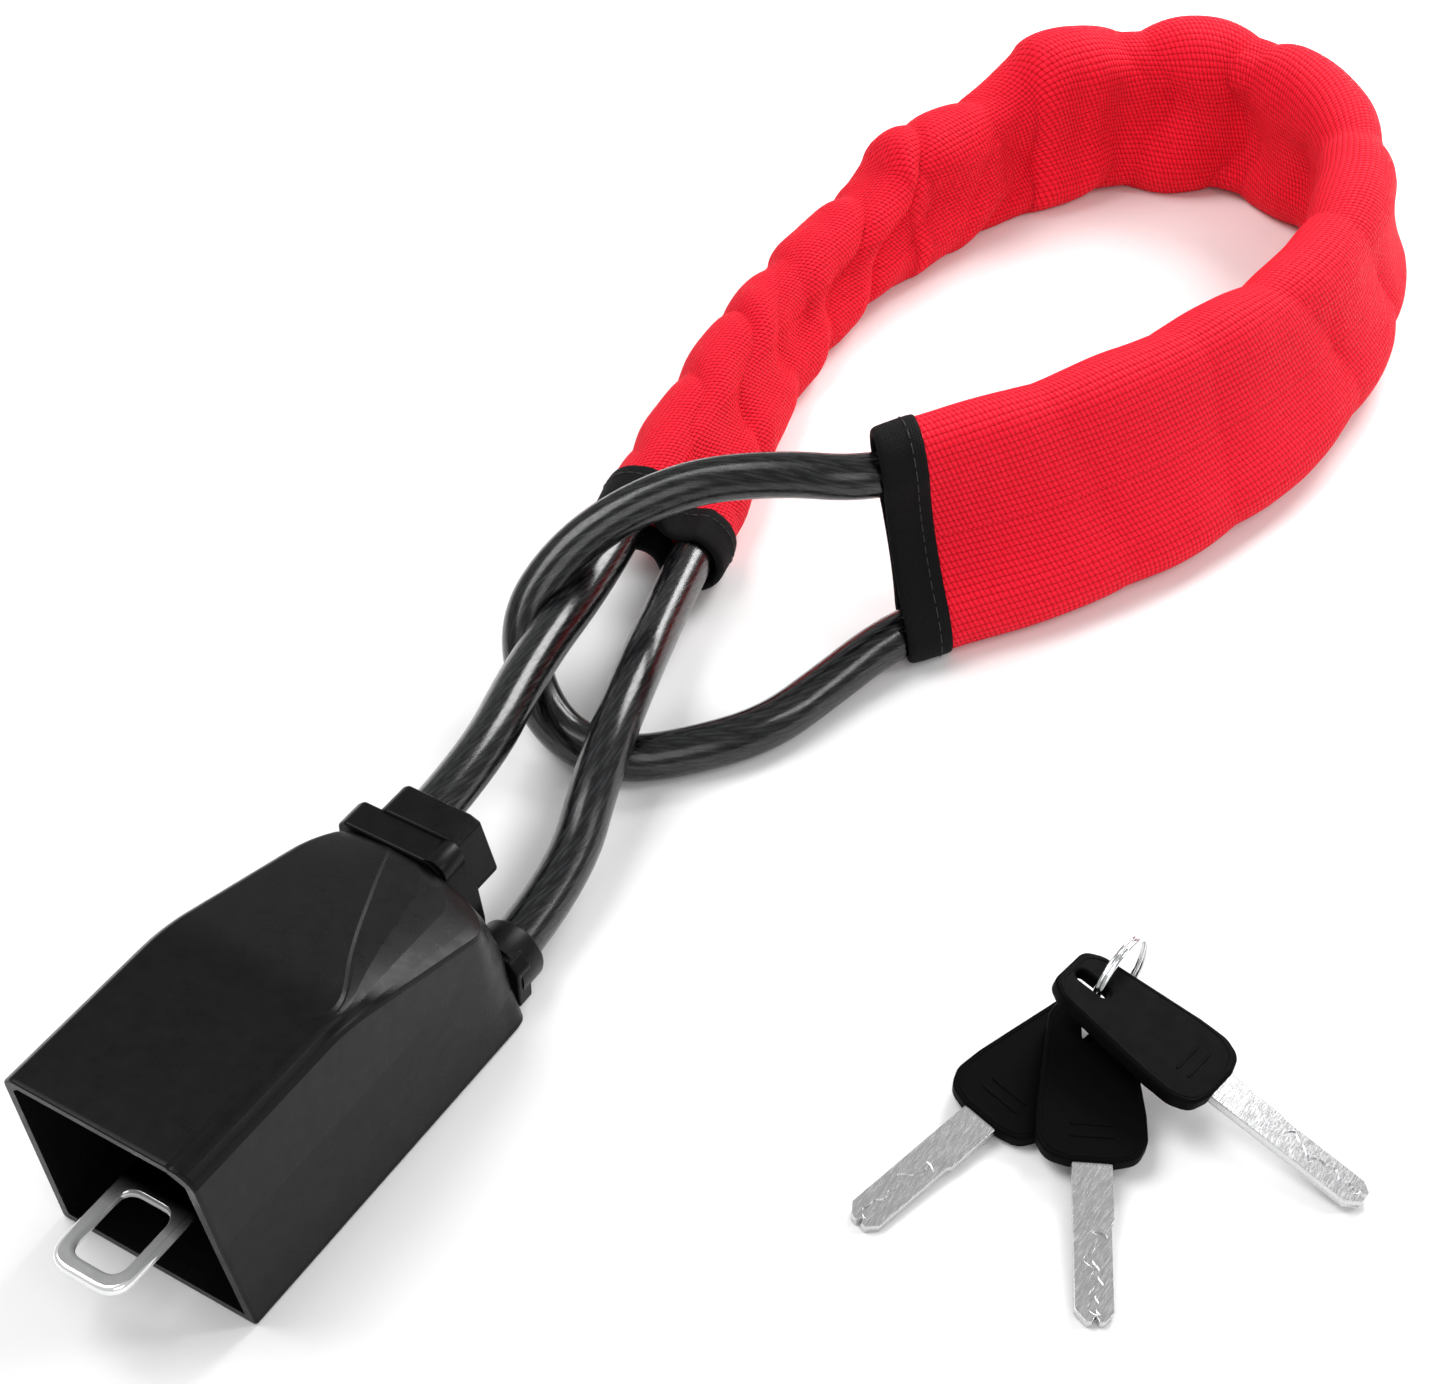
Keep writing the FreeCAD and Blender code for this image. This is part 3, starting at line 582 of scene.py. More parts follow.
def sleeve_frame():
    """The sleeve's stations made smooth, every 1.3 mm: distance along, and the table's columns."""
    table = np.array(SLEEVE, float)
    # Catmull-Rom through the stations
    fine = []
    for i in range(len(table) - 1):
        p0 = table[max(i - 1, 0)]
        p1, p2 = table[i], table[i + 1]
        p3 = table[min(i + 2, len(table) - 1)]
        for k in range(30):
            t = k / 30
            fine.append(0.5 * (2 * p1 + (p2 - p0) * t + (2 * p0 - 5 * p1 + 4 * p2 - p3) * t ** 2
                               + (3 * p1 - p0 - 3 * p2 + p3) * t ** 3))
    fine.append(table[-1])
    fine = np.array(fine)
    seg = np.linalg.norm(np.diff(fine[:, :2], axis=0), axis=1)
    s = np.concatenate([[0.0], np.cumsum(seg)])
    at = np.linspace(0.0, s[-1], int(s[-1] / 1.3))
    cols = [np.interp(at, s, fine[:, k]) for k in range(5)]
    return at, np.stack(cols, axis=1)


def wave_noise(seed, u, v, scale_u, scale_v, octaves=3):
    """Smooth seeded noise, periodic in v with period 1."""
    rng = np.random.default_rng(seed)
    total = np.zeros(np.broadcast(u, v).shape)
    weight = 1.0
    for octave in range(octaves):
        for _ in range(5):
            k_v = rng.integers(0, max(1, int(scale_v * 2 ** octave)) + 1)
            k_u = rng.normal(0.0, 1.0) * 2 * np.pi / scale_u * 2 ** octave
            total += weight * np.sin(k_u * u + 2 * np.pi * k_v * v * rng.choice([-1, 1])
                                     + rng.uniform(0, 2 * np.pi))
        weight *= 0.5
    return total / 5.0


def folds(seed, u, v, spacing, slant, wander):
    """Ridged folds that cross the sleeve: sharp creases between rounded swells."""
    bend = wander * wave_noise(seed, u, v, 160.0, 2.0, 2)
    phase = (u + slant * np.sin(2 * np.pi * v) * 10.0) / spacing + bend
    swell = np.abs(np.sin(np.pi * phase))
    return swell ** 0.8 - 0.6


def row_normals(row, ahead):
    """Outward directions round one closed row, evened out between neighbours."""
    along = np.roll(row, -1, axis=0) - np.roll(row, 1, axis=0)
    out = np.cross(along, ahead)
    if np.sum(out * (row - row.mean(axis=0))) < 0:
        out = -out
    out /= np.maximum(np.linalg.norm(out, axis=1), 1e-6)[:, None]
    for _ in range(4):
        out = 0.5 * out + 0.25 * (np.roll(out, 1, axis=0) + np.roll(out, -1, axis=0))
    return out / np.linalg.norm(out, axis=1)[:, None]


def clear_of_cable(rows):
    """Push the cloth out wherever it would cut into the cable it covers."""
    line, _ = resample(spline_points(CABLE_ROUTE) / MM, 2.5)
    for row in rows:
        near = line[np.linalg.norm(line - row.mean(axis=0), axis=1) < 60.0]
        way = row[:, None, :] - near[None, :, :]
        far = np.linalg.norm(way, axis=2)
        pick = far.argmin(axis=1)
        index = np.arange(len(row))
        gap = far[index, pick]
        push = np.clip(CABLE_R + CABLE_CLEAR - gap, 0.0, 3.0)
        row += way[index, pick] * (push / np.maximum(gap, 0.5))[:, None]


def sleeve_rows():
    """Rings of points of the loose cloth, in mm, and the directions they were made from."""
    s, table = sleeve_frame()
    count = len(s)
    x, y, lean, width, thick = table.T
    heading = np.gradient(table[:, :2], axis=0)
    heading /= np.linalg.norm(heading, axis=1)[:, None]
    left = np.stack([-heading[:, 1], heading[:, 0], np.zeros(count)], axis=1)
    tip = np.radians(lean)
    up = np.array([0.0, 0.0, 1.0])
    across = np.cos(tip)[:, None] * up + np.sin(tip)[:, None] * left
    outwards = np.cos(tip)[:, None] * left - np.sin(tip)[:, None] * up
    # flatter than the CAD section, with a gentle waist between the strands
    v = np.arange(SLEEVE_AROUND) / SLEEVE_AROUND
    share = s / s[-1]
    half = (width - thick) / 2
    middle_z = half * np.cos(tip) + thick / 2 + REST_GAP
    rows = np.zeros((count, SLEEVE_AROUND, 3))
    # amount of gathering along the sleeve, from the front binding to the back one
    gather = np.interp(share, [0.0, 0.05, 0.2, 0.34, 0.48, 0.62, 0.8, 0.95, 1.0],
                       [0.0, 0.3, 0.45, 0.7, 1.0, 1.0, 1.0, 0.6, 0.1])
    twist = np.interp(share, [0.0, 0.62, 0.75, 1.0], [0.0, 0.0, 1.0, 1.0])
    fold_depth = np.interp(share, [0.0, 0.36, 0.5, 1.0], [2.6, 3.0, 6.5, 6.5])
    S, V = np.meshgrid(s, v, indexing="ij")
    wide = wave_noise(3, S, V, 110.0, 1.0, 2)
    small = wave_noise(8, S, V, 60.0, 2.0, 2)
    deep = folds(11, S, V, 46.0, 0.5, 0.35)
    slanted = folds(29, S, V, 34.0, 2.4, 0.6)
    creases = (1 - twist[:, None]) * fold_depth[:, None] * deep + twist[:, None] * 3.3 * slanted
    hills = 1.3 * wide + 0.6 * small + creases
    lift = np.maximum(gather[:, None] * hills, -1.3)
    pinch = 1.5 + 4.0 * np.clip(1.0 - s / 38.0, 0, 1) + 1.6 * gather * np.clip(-deep[:, 0], 0, 1)
    pinch = pinch + 3.0 * np.clip(1.0 - (s[-1] - s) / 26.0, 0, 1)
    for j in range(SLEEVE_AROUND):
        perimeter = 2 * half * 2 + math.pi * thick
        at = v[j] * perimeter
        straight = 2 * half
        curve = math.pi * thick / 2
        # start in the middle of the outer face, going up
        d = (at + straight / 2) % perimeter
        on_first = d < straight
        on_top = (d >= straight) & (d < straight + curve)
        on_second = (d >= straight + curve) & (d < 2 * straight + curve)
        a = np.where(on_first, d - half, 0.0)
        r = thick / 2
        ang_top = (d - straight) / r
        ang_low = (d - 2 * straight - curve) / r
        e_across = np.where(on_first, a, np.where(on_top, half + r * np.sin(ang_top),
                   np.where(on_second, half - (d - straight - curve), -half - r * np.sin(ang_low))))
        e_out = np.where(on_first, -r, np.where(on_top, -r * np.cos(ang_top),
                np.where(on_second, r, r * np.cos(ang_low))))
        n_across = np.where(on_first, 0.0, np.where(on_top, np.sin(ang_top),
                   np.where(on_second, 0.0, -np.sin(ang_low))))
        n_out = np.where(on_first, -1.0, np.where(on_top, -np.cos(ang_top),
                np.where(on_second, 1.0, np.cos(ang_low))))
        # the flat faces sag in between the two strands
        sag = pinch * (1 - np.clip(np.abs(e_across) / np.maximum(0.8 * half, 1.0), 0, 1) ** 2)
        push = lift[:, j] - sag * np.abs(n_out)
        e_across = e_across + push * n_across
        e_out = e_out + push * n_out
        slant = 0.34 * e_out * np.clip(1.0 - s / 45.0, 0, 1)
        pos = (np.stack([x, y, middle_z], axis=1) + e_across[:, None] * across
               + e_out[:, None] * outwards)
        pos[:, :2] += slant[:, None] * heading
        rows[:, j] = pos
    clear_of_cable(rows)
    rows[:, :, 2] = np.maximum(rows[:, :, 2], CLOTH_LOWEST)
    return s, rows, heading, outwards


def build_sleeve(cloth, tape, thread):
    """The cloth tube and the taped binding at each of its ends."""
    s, rows, heading, outwards = sleeve_rows()
    mesh = grid_mesh("sleeve_cloth", rows * MM, True)
    around_mm = SLEEVE_ROUND * np.arange(SLEEVE_AROUND + 1) / SLEEVE_AROUND
    grid_uv(mesh, len(s), SLEEVE_AROUND, s * CLOTH_GATHER, around_mm)
    smooth(mesh)
    sleeve = new_object("sleeve_cloth", mesh, cloth, nodes=("sleeve",))
    wall = sleeve.modifiers.new("wall", "SOLIDIFY")
    wall.thickness = CLOTH_THICK * MM
    wall.offset = 1.0 if mesh.polygons[0].normal.dot(Vector(outwards[0])) < 0 else -1.0

    # bindings: folded tape round each end, with a row of stitches
    ends = (("front_tape", 0, -1.0, "front_binding"), ("back_tape", -1, 1.0, "back_binding"))
    for name, i, sign, node in ends:
        head = heading[i]
        ahead = np.array([head[0], head[1], 0.0])
        ring_rows = []
        edge_row = rows[i]
        outline = list(zip(edge_row, row_normals(edge_row, ahead)))
        # across the tape: in at the inner lip, over the edge and back
        profile = [(3.0, 0.1), (3.1, 1.2), (2.2, 1.7), (0.5, 1.75), (-4.0, 1.6), (-8.0, 1.5), (-9.3, 1.2),
                   (-9.9, 0.3), (-9.8, -0.5), (-9.0, -1.0), (-5.0, -1.1), (-1.0, -1.0)]
        for step, out in profile:
            inward = int(round(max(step, 0.0) / 1.3))
            base = rows[inward] if i == 0 else rows[-1 - inward]
            shift = ahead * (-sign) * min(step, 0.0)
            ring_rows.append(base + row_normals(base, ahead) * out + shift)
        tape_rows = np.array(ring_rows)
        tape_rows[:, :, 2] = np.maximum(tape_rows[:, :, 2], TAPE_LOWEST)
        tape_mesh = grid_mesh(name, tape_rows * MM, True)
        widths = np.array([0.0, 0.8, 2.0, 3.5, 8.0, 12.0, 13.5, 14.5, 15.5, 16.5, 20.5, 24.5])
        grid_uv(tape_mesh, len(profile), SLEEVE_AROUND, widths, around_mm)
        smooth(tape_mesh)
        band = new_object(name, tape_mesh, tape, nodes=(node,))
        even = band.modifiers.new("even", "SUBSURF")
        even.levels = even.render_levels = 1
        stitches = []
        for k in range(0, SLEEVE_AROUND - 1, 3):
            p, w = outline[k]
            q, w2 = outline[k + 2]
            a = p + w * 1.78 + ahead * sign
            b = q + w2 * 1.78 + ahead * sign
            pts = np.array([a - w * 0.5, a, (a + b) / 2 + w * 0.06, b, b - w2 * 0.5])
            pts[:, 2] = np.maximum(pts[:, 2], 0.2)
            pts = pts * MM
            stitches.append(grid_mesh("stitch", tube_along(pts, STITCH_R * MM, 6), True, True))
        stitch_mesh = joined(name + "_stitches", stitches)
        smooth(stitch_mesh)
        new_object(name + "_stitches", stitch_mesh, thread)
    return sleeve


# ---- hood ---------------------------------------------------------------
SPRING_X = (11.1, 23.6)
SPRING_R = 4.3
SPRING_WIRE = 0.45
SPRING_COILS = 4.5
PLUNGER_Y = 2.0
PLUNGER_Z = 11.5
MOUTH_X = -50.0
REAR_X = 50.0
HOOD_FOOT = 27.0
MOUTH_RAKE = 8.0
RAKE_LONG = 34.0
HOOD_TALL = 57.0
REAR_TALL = 38.5
BREAK_X = -8.0
WALL = 2.4
# right edge of the top panel: x, y
PANEL_EDGE = [
    (-60.0, -18.2), (-16.0, -18.4), (-12.0, -19.3), (-9.5, -20.6), (-7.0, -20.9), (-3.0, -19.6),
    (1.0, -17.2), (6.0, -13.8), (13.0, -9.6), (20.0, -5.8), (28.0, -1.8), (36.0, 2.2), (44.0, 6.0),
    (50.0, 8.8),
]


def smooth_table(table, x):
    """Cubic through a table of (x, value), for a fair curve."""
    xs = [p[0] for p in table]
    ys = [p[1] for p in table]
    i = min(max(int(np.searchsorted(xs, x)) - 1, 0), len(xs) - 2)
    slopes = []
    for k in (i, i + 1):
        lo, hi = max(k - 1, 0), min(k + 1, len(xs) - 1)
        slopes.append((ys[hi] - ys[lo]) / (xs[hi] - xs[lo]))
    h = xs[i + 1] - xs[i]
    t = (x - xs[i]) / h
    return ((2 * t ** 3 - 3 * t ** 2 + 1) * ys[i] + (t ** 3 - 2 * t ** 2 + t) * h * slopes[0]
            + (-2 * t ** 3 + 3 * t ** 2) * ys[i + 1] + (t ** 3 - t ** 2) * h * slopes[1])


def hood_section(x, shrink=0.0):
    """The hood's rounded outline at x: groove, bead and facet on the right, seen from the mouth."""
    run = x - BREAK_X
    soft = 7.0
    fall = 0.0 if run < -soft else (run if run > soft else (run + soft) ** 2 / (4 * soft))
    slope = fall / (REAR_X - BREAK_X)
    top = HOOD_TALL - (HOOD_TALL - REAR_TALL) * slope
    panel = smooth_table(PANEL_EDGE, x)
    shoulder = top - 3.3 - 1.0 * slope
    close = max(0.0, (x - 36.0) / 14.0) ** 2.2
    tuck = 3.2 * max(0.0, (x - 34.0) / 16.0) ** 2
    wall = [(-26.7, 2.0), (-26.1, 11.0), (-25.5, 22.0), (-24.9, 30.0), (-24.25, shoulder - 1.3)]
    corner = [(-26.4, 2.0), (-23.6, 11.0), (-20.2, 22.5), (-14.9, 30.2), (-7.9, 35.0)]
    right = [(a + (c - a) * close, b + (d - b) * close) for (a, b), (c, d) in zip(wall, corner)]
    side = (-23.9 + (16.9) * close, shoulder + (35.5 - shoulder) * close)
    wide = panel - side[0]
    notch = 0.42 * max(0.0, 1.0 - max(0.0, x + 2.0) / 14.0)
    bead = 0.55 * max(0.0, min(1.0, (8.0 - x) / 14.0))
    edge_notch = 0.34 * max(0.25, 1.0 - max(0.0, x + 4.0) / 60.0)
    band = []
    for share in (0.12, 0.36, 0.64, 0.88):
        y = side[0] + wide * share
        z = side[1] + (top - 0.35 - side[1]) * share
        arch = (1.5 * bead + 0.85 * min(1.0, slope * 3.0)) * math.sin(math.pi * share)
        band.append((y - 0.45 * arch, z + 0.9 * arch))
    points = ([(-27.0, 0.3)] + right + [(side[0] + 0.35 * notch, side[1] - notch * 0.55)] + band
              + [(panel - 0.25, top - edge_notch - 0.12), (panel + 0.55, top),
                 (23.2 - tuck, top - 0.3 * tuck), (25.6 - tuck, top - 2.4 - 0.6 * tuck), (27.0, 0.3)])
    radii = [0.8, 6.0, 6.0, 6.0, 3.0, 0.5, 0.35, 0.5, 2.0, 2.0, 0.5, 0.2, 0.5, 1.8, 1.8, 0.8]
    if shrink:
        points = [(y - y / HOOD_FOOT * shrink, z * (1 - shrink / top) if z > 5 else z) for y, z in points]
    return rounded(points, radii, 3, True)


def inner_outline(x):
    """The inside of the hood at x."""
    slope = max(0.0, x - BREAK_X) / (REAR_X - BREAK_X)
    top = HOOD_TALL - (HOOD_TALL - REAR_TALL) * slope - WALL
    close = max(0.0, (x - 36.0) / 14.0) ** 2.2
    wall = [(-24.2, 3.0), (-22.6, 30.0), (-21.6, top - 2.6)]
    corner = [(-23.6, 3.0), (-12.6, 28.6), (-5.0, 33.0)]
    right = [(a + (c - a) * close, b + (d - b) * close) for (a, b), (c, d) in zip(wall, corner)]
    panel = smooth_table(PANEL_EDGE, x) + 1.0
    points = [(-24.5, 2.7)] + right + [(panel, top), (21.6, top), (23.2, top - 1.6), (24.5, 2.7)]
    return rounded(points, [0.6, 4.0, 2.0, 1.2, 1.0, 1.0, 1.0, 0.6], 10, True)


def build_hood(plastic):
    """One closed shell: outside, inside, and the rim of the mouth between them."""
    lean = MOUTH_RAKE / HOOD_TALL

    def place(x, outline):
        share = max(0.0, 1.0 - (x - MOUTH_X) / RAKE_LONG)
        return [((x - share * lean * z) * MM, y * MM, z * MM) for y, z in outline]

    stations = [(50.0, 2.6), (49.8, 1.9), (49.4, 1.25), (48.8, 0.75), (48.0, 0.35), (47.0, 0.1)]
    stations += [(x, 0.0) for x in np.arange(45.5, -50.0, -1.5)]
    stations += [(-49.4, 0.0), (-49.8, 0.15), (-50.0, 0.5)]
    outer = [place(x, hood_section(x, shrink)) for x, shrink in stations]
    body = grid_mesh("hood_outside", np.array(outer), True)
    back = tuple(range(len(outer[0])))
    inner = []
    for x in [-50.0, -49.6, -46.0, -38.0, -30.0, -20.0, -12.0, -8.0, 0.0, 12.0, 24.0, 36.0, 42.0, 47.6]:
        inner.append(place(x, inner_outline(x)))
    lining = grid_mesh("hood_lining", np.array(inner), True)
    verts = [tuple(v.co) for v in body.vertices]
    faces = [tuple(p.vertices) for p in body.polygons]
    m = len(outer[0])
    first_rim = (len(outer) - 1) * m
    base = len(verts)
    verts.extend(tuple(v.co) for v in lining.vertices)
    faces.extend(tuple(base + k for k in p.vertices) for p in lining.polygons)
    k_in = len(inner[0])
    faces.extend(bridge(verts, [first_rim + j for j in range(m)], [base + j for j in range(k_in)]))
    faces.append(back[::-1])
    faces.append(tuple(base + (len(inner) - 1) * k_in + j for j in range(k_in)))
    whole = bpy.data.meshes.new("hood_body")
    whole.from_pydata(verts, [], faces)
    whole.update()
    smooth(whole, 32)
    return new_object("hood_body", whole, plastic, nodes=("hood_shell",))


def bridge(verts, loop_a, loop_b):
    """Triangles between two closed loops of different counts that start side by side."""
    def shares(loop):
        pts = np.array([verts[k] for k in loop + loop[:1]], float)
        along = np.concatenate([[0.0], np.cumsum(np.linalg.norm(np.diff(pts, axis=0), axis=1))])
        return along / along[-1]

    sa, sb = shares(loop_a), shares(loop_b)
    i = j = 0
    faces = []
    while i < len(loop_a) or j < len(loop_b):
        a0, b0 = loop_a[i % len(loop_a)], loop_b[j % len(loop_b)]
        step_a = j >= len(loop_b) or (i < len(loop_a) and sa[i + 1] <= sb[j + 1])
        if step_a:
            i += 1
            faces.append((a0, b0, loop_a[i % len(loop_a)]))
        else:
            j += 1
            faces.append((a0, b0, loop_b[j % len(loop_b)]))
    return faces


def prism(name, outline, x_from, x_to, material, bevel=0.7, nodes=()):
    """A straight piece along X from an outline in the YZ plane, with rounded edges."""
    rows = np.array([[(x * MM, y * MM, z * MM) for y, z in outline] for x in (x_from, x_to)])
    mesh = grid_mesh(name, rows, True, caps=True)
    obj = new_object(name, mesh, material, nodes=nodes)
    smooth(mesh)
    add_bevel(obj, bevel, 4, 25.0)
    return obj


def collar_ring(name, y, z, x_from, x_to, inner, outer, material):
    """A round lip where the cable leaves the moulding."""
    profile = [(x_from, inner), (x_from, outer), (x_to - 0.8, outer), (x_to - 0.2, outer - 0.25),
               (x_to, outer - 0.8), (x_to, inner + 0.3), (x_to - 0.3, inner)]
    angles = 2 * np.pi * np.arange(48) / 48
    rows = []
    for x, r in profile:
        rows.append([(x * MM, (y + r * math.cos(a)) * MM, (z + r * math.sin(a)) * MM) for a in angles])
    mesh = grid_mesh(name, np.array(rows), True)
    smooth(mesh, 50)
    return new_object(name, mesh, material)


def build_rear(plastic):
    """The stepped cap, its ridge, and the collars where the cable leaves."""
    lower = [(-10.3, 0.8), (-10.3, 17.5), (-9.0, 26.0), (-4.5, 36.2), (-1.5, 38.2),
             (22.5, 38.2), (24.5, 36.4), (24.5, 0.8)]
    upper = [(-7.0, 23.4), (-7.9, 24.8), (-3.8, 38.0), (-1.0, 39.0), (16.5, 39.0),
             (18.2, 37.6), (18.2, 23.4)]
    prism("rear_step", lower, 49.5, 58.0, plastic, 0.8, ("rear_cap",))
    prism("rear_block", upper, 57.0, 67.0, plastic, 0.9)
    ridge = []
    for x in (49.8, 50.2, 57.0, 57.7, 58.0):
        r = 3.9 if x < 57.5 else 3.9 - (x - 57.3)
        ridge.append([(x * MM, (-2.2 + r * math.cos(a)) * MM, (35.0 + r * math.sin(a)) * MM)
                      for a in 2 * np.pi * np.arange(32) / 32])
    mesh = grid_mesh("rear_ridge", np.array(ridge), True, caps=True)
    smooth(mesh, 40)
    new_object("rear_ridge", mesh, plastic)
    collar = [(-25.0, 3.0), (-25.0, 13.6), (-22.6, 16.6), (-14.5, 17.6), (-11.2, 17.2),
              (-10.4, 15.6), (-10.4, 2.4), (-24.0, 2.4)]
    prism("collar_block", collar, 49.5, 54.5, plastic, 1.6, ("cable_collar",))
    collar_ring("collar_lip", -17.0, 10.0, 51.0, 59.4, 6.05, 8.4, plastic)
    collar_ring("block_lip", 11.0, 31.0, 66.2, 67.8, 6.05, 7.2, plastic)


def build_tongue(plating):
    """The latch plate with its window and well rounded edges."""
    tip, root, half = -71.0, 15.0, 10.0
    window_from, window_to, window_half = -66.8, -48.0, 6.5
    outline = [(tip, -half), (root, -half), (root, half), (tip, half)]
    window = [(window_from, -window_half), (window_from, window_half),
              (window_to, window_half), (window_to, -window_half)]
    loops = [rounded(outline, [6.5, 0.5, 0.5, 6.5], 10), rounded(window, 3.8, 8)]
    mesh = filled_outline("tongue_plate", loops, 1.3 * MM, 1.1 * MM, 6)
    mesh.transform(Matrix.Translation((0, 0, 21.0 * MM)))
    smooth(mesh, 60)
    return new_object("tongue_plate", mesh, plating, nodes=("latch_tongue",))


def build_spring(steel):
    """Return spring round the push rod."""
    share = np.linspace(0.0, 1.0, 150)
    angle = 2 * np.pi * SPRING_COILS * share
    x = SPRING_X[0] + SPRING_WIRE + (SPRING_X[1] - SPRING_X[0] - 2 * SPRING_WIRE) * share
    y = PLUNGER_Y + SPRING_R * np.cos(angle)
    z = PLUNGER_Z + SPRING_R * np.sin(angle)
    rows = tube_along(np.stack([x, y, z], axis=1) * MM, SPRING_WIRE * MM, 10)
    mesh = grid_mesh("spring_coil", rows, True, True)
    smooth(mesh, 60)
    coil = new_object("spring_coil", mesh, steel, nodes=("return_spring",))
    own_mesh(coil)


# ---- keys ---------------------------------------------------------------
def key_matrix(key):
    """Where a key lies: its frame's X runs from the ring end of the head to the tip."""
    x, y, z, yaw, pitch, roll = key
    turn = (Matrix.Rotation(math.radians(yaw), 4, "Z") @ Matrix.Rotation(math.radians(pitch), 4, "Y")
            @ Matrix.Rotation(math.radians(roll), 4, "X"))
    return Matrix.Translation((x * MM, y * MM, z * MM)) @ turn @ Matrix.Translation((-SLOT_BACK * MM, 0, 0))


def plate_uv(mesh):
    """UV in millimetres straight down on the plate."""
    layer = mesh.uv_layers.new(name="UVMap")
    data = np.zeros((len(mesh.loops), 2), np.float32)
    for i, loop in enumerate(mesh.loops):
        co = mesh.vertices[loop.vertex_index].co
        data[i] = (co.x / MM, co.y / MM)
    layer.data.foreach_set("uv", data.ravel())


def build_keys(plastic, steel, chrome):
    """Three keys, each a moulded head round a milled blade, and their split ring."""
    head_line = [(0.0, -6.4), (0.0, 6.4), (4.0, 9.1), (30.0, 12.3), (37.0, 12.5), (41.6, 10.2), (43.0, 5.0),
                 (43.0, -5.0), (41.6, -10.2), (37.0, -12.5), (30.0, -12.3), (4.0, -9.1)]
    radii = [4.0, 4.0, 6.0, 14.0, 6.0, 5.0, 4.0, 4.0, 5.0, 6.0, 14.0, 6.0]
    slot = []
    for k in range(24):
        a = 2 * math.pi * k / 24
        slot.append((7.0 + math.copysign(2.8, math.cos(a)) + 1.7 * math.cos(a), 1.7 * math.sin(a)))
    blade = [(31.0, -3.4), (43.0, -3.4), (43.0, -4.5), (79.2, -4.5), (82.0, -2.0),
             (82.0, -0.8), (80.2, 0.0), (82.0, 0.8), (82.0, 1.9), (79.6, 3.9),
             (58.2, 3.9), (57.2, 4.5), (43.0, 4.5), (43.0, 3.4), (31.0, 3.4)]
    track = []
    back = []
    for i in range(33):
        t = i / 32
        x = 60.0 + 20.2 * t
        y = 1.9 * math.sin(13.0 * t) * (0.6 + 0.4 * math.cos(5 * t)) + 0.5 * math.sin(31 * t)
        wide = 0.75 + 0.2 * math.sin(23 * t)
        track.append((x, min(y + wide, 3.2)))
        back.append((x, max(y - wide, -3.8)))
    track_loop = track + back[::-1]
    for i, key in enumerate(KEYS):
        name = "key_%d" % (i + 1)
        place = key_matrix(key)
        loops = [rounded(head_line, radii, 8), slot]
        head = filled_outline(name + "_head_plate", loops, 1.8 * MM, 0.7 * MM, 4)
        ridge_out = rounded([(x + (0.9 if x < 20 else -0.9), y * 0.93) for x, y in head_line], radii, 8)
        ridge_in = rounded([(x + (1.7 if x < 20 else -1.7), y * 0.88) for x, y in head_line], radii, 8)
        rim = filled_outline(name + "_rim", [ridge_out, ridge_in], 1.92 * MM, 0.12 * MM, 1)
        lines = []
        for x in (33.5, 36.6):
            box = [(x - 0.35, -5.0), (x + 0.35, -5.0), (x + 0.35, 5.0), (x - 0.35, 5.0)]
            lines.append(filled_outline("bar", [rounded(box, 0.3, 3)], 2.0 * MM, 0.12 * MM, 1))
        whole = joined(name + "_head", [head, rim] + lines)
        plate_uv(whole)
        whole.transform(place)
        smooth(whole, 45)
        new_object(name + "_head", whole, plastic, body=name,
                   nodes=("key_head_%d" % (i + 1),))
        core = filled_outline("core", [blade], 0.75 * MM, 0.08 * MM, 1)
        skins = []
        for side in (-1, 1):
            skin = filled_outline("skin", [rounded(blade, 0.35, 3), track_loop], 0.2 * MM, 0.09 * MM, 2)
            skin.transform(Matrix.Translation((0, 0, side * 0.9 * MM)))
            skins.append(skin)
        metal_mesh = joined(name + "_blade", [core] + skins)
        plate_uv(metal_mesh)
        metal_mesh.transform(place)
        smooth(metal_mesh, 45)
        new_object(name + "_blade", metal_mesh, steel, body=name,
                   nodes=("key_blade_%d" % (i + 1),))

    # split ring: two turns of wire side by side that cross at one place
    centre = np.array(RING_CENTRE) * MM
    normal = np.array(RING_NORMAL)
    normal /= np.linalg.norm(normal)
    e1 = np.cross(normal, (0.0, 0.0, 1.0))
    e1 /= np.linalg.norm(e1)
    e2 = np.cross(normal, e1)
    points = []
    total = 4 * np.pi - 0.5
    for k in range(181):
        t = total * k / 180
        side = np.interp(t, [2 * np.pi - 0.55, 2 * np.pi + 0.05], [-1.0, 1.0]) * (RING_WIRE + 0.02)
        a = t + 1.9
        points.append(centre + RING_R * MM * (np.cos(a) * e1 + np.sin(a) * e2) + side * MM * normal)
    rows = tube_along(np.array(points), RING_WIRE * MM, 12)
    mesh = grid_mesh("split_ring", rows, True, caps=True)
    smooth(mesh, 50)
    new_object("split_ring", mesh, chrome, body="ring", nodes=("key_ring",))


# ---- setting ------------------------------------------------------------
FLOOR_HALF = 4.0
LIGHT_MIDDLE = (0.15, -0.03, 0.02)
CAMERA_PLACE = (-0.3035, -0.3005, 0.5246)
CAMERA_TARGET = (0.1659, -0.0049, 0.0)
CAMERA_LENS = 74.34


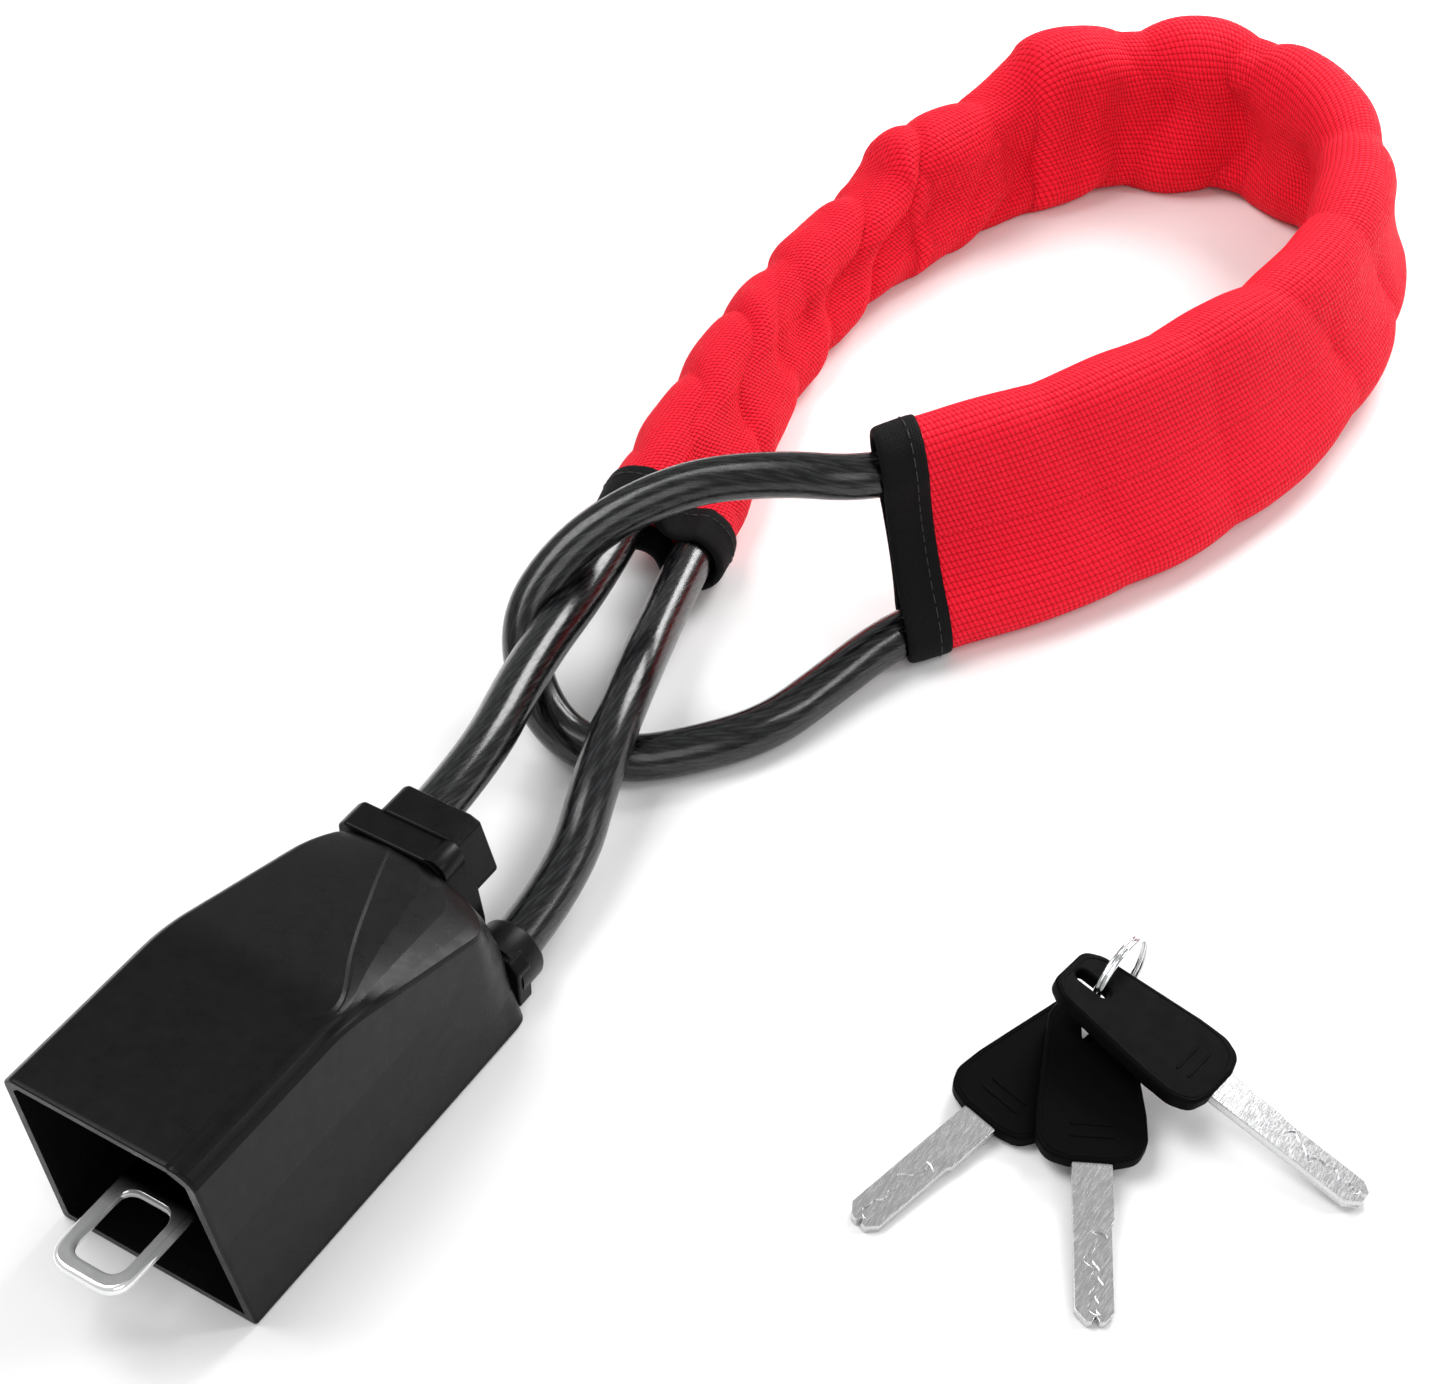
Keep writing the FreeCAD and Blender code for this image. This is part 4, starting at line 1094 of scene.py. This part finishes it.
def area_light(name, where, target, size, power, size_y=None):
    """A soft light aimed at a point."""
    lamp = bpy.data.lights.new(name, "AREA")
    lamp.energy = power
    lamp.size = size
    if size_y:
        lamp.shape = "RECTANGLE"
        lamp.size_y = size_y
    obj = bpy.data.objects.new(name, lamp)
    bpy.context.scene.collection.objects.link(obj)
    obj.location = where
    obj.rotation_euler = (Vector(target) - Vector(where)).to_track_quat("-Z", "Y").to_euler()
    return obj


def build_setting():
    """Floor, soft light and the camera."""
    size = FLOOR_HALF
    corners = [(-size, -size, 0), (size, -size, 0), (size, size, 0), (-size, size, 0)]
    mesh = bpy.data.meshes.new("floor")
    mesh.from_pydata(corners, [], [(0, 1, 2, 3)])
    mesh.materials.append(pale_floor())
    floor = bpy.data.objects.new("floor", mesh)
    bpy.context.scene.collection.objects.link(floor)

    world = bpy.data.worlds.new("studio")
    bpy.context.scene.world = world
    world.use_nodes = True
    back = next(n for n in world.node_tree.nodes if n.type == "BACKGROUND")
    back.inputs["Color"].default_value = (1.0, 1.0, 1.0, 1.0)
    back.inputs["Strength"].default_value = 0.42
    area_light("key_light", (-0.12, 0.6, 1.3), LIGHT_MIDDLE, 0.8, 12.0)
    area_light("fill_light", (-0.55, -0.85, 0.95), LIGHT_MIDDLE, 0.8, 4.2)
    area_light("facet_light", (0.92, -0.06, 0.50), (0.02, -0.012, 0.045), 0.34, 6.5, 0.52)
    area_light("bead_light", (0.48, -0.66, 0.66), (-0.03, -0.02, 0.055), 0.16, 1.7, 0.5)

    camera = bpy.data.cameras.new("camera")
    camera.sensor_fit = "HORIZONTAL"
    camera.sensor_width = 36.0
    camera.lens = CAMERA_LENS
    camera.clip_start = 0.01
    obj = bpy.data.objects.new("camera", camera)
    bpy.context.scene.collection.objects.link(obj)
    eye = Vector(CAMERA_PLACE)
    obj.location = eye
    obj.rotation_euler = (Vector(CAMERA_TARGET) - eye).to_track_quat("-Z", "Y").to_euler()
    bpy.context.scene.camera = obj
    bpy.context.scene.view_settings.view_transform = "Standard"


def assign(names, material):
    """Give carried-over CAD nodes a better material."""
    for name in names:
        mesh = NODES[name].data
        mesh.materials.clear()
        mesh.materials.append(material)


def main():
    plastic = moulded_plastic("hood_plastic", 0.0035, 0.31)
    key_plastic = moulded_plastic("key_plastic", 0.0016, 0.5, 0.00004, 0.03)
    chrome = metal("bright_chrome", (0.90, 0.91, 0.92), 0.10)
    steel = metal("key_steel", (0.72, 0.72, 0.73), 0.24, (300.0, 2600.0, 2600.0), 0.00002)
    dull = metal("turned_steel", (0.50, 0.50, 0.51), 0.34, (3000.0, 200.0, 200.0), 0.00003)
    cast = metal("cast_zinc", (0.33, 0.33, 0.34), 0.5, (700.0, 700.0, 700.0), 0.00008)
    brass = metal("wafer_brass", (0.62, 0.46, 0.2), 0.3)
    crimped = metal("crimped_alloy", (0.6, 0.6, 0.61), 0.38)
    assign(("lock_core",), cast)
    assign(("ferrule_upper", "ferrule_lower"), crimped)
    assign(("plunger_housing", "push_rod", "retaining_clip", "drive_pin", "locking_bolt",
            "housing_screws", "cap_screws", "ferrule_screw", "tongue_rivets"), dull)
    assign(("key_barrel",), chrome)
    assign(("barrel_wafers",), brass)
    assign(("presser_foot",), key_plastic)
    build_cable(smoky_vinyl(), rope_steel())
    build_hood(plastic)
    build_rear(plastic)
    build_tongue(plated_tongue())
    build_sleeve(red_cloth(), black_tape(), stitch_thread())
    build_spring(dull)
    build_keys(key_plastic, steel, chrome)
    build_setting()


main()
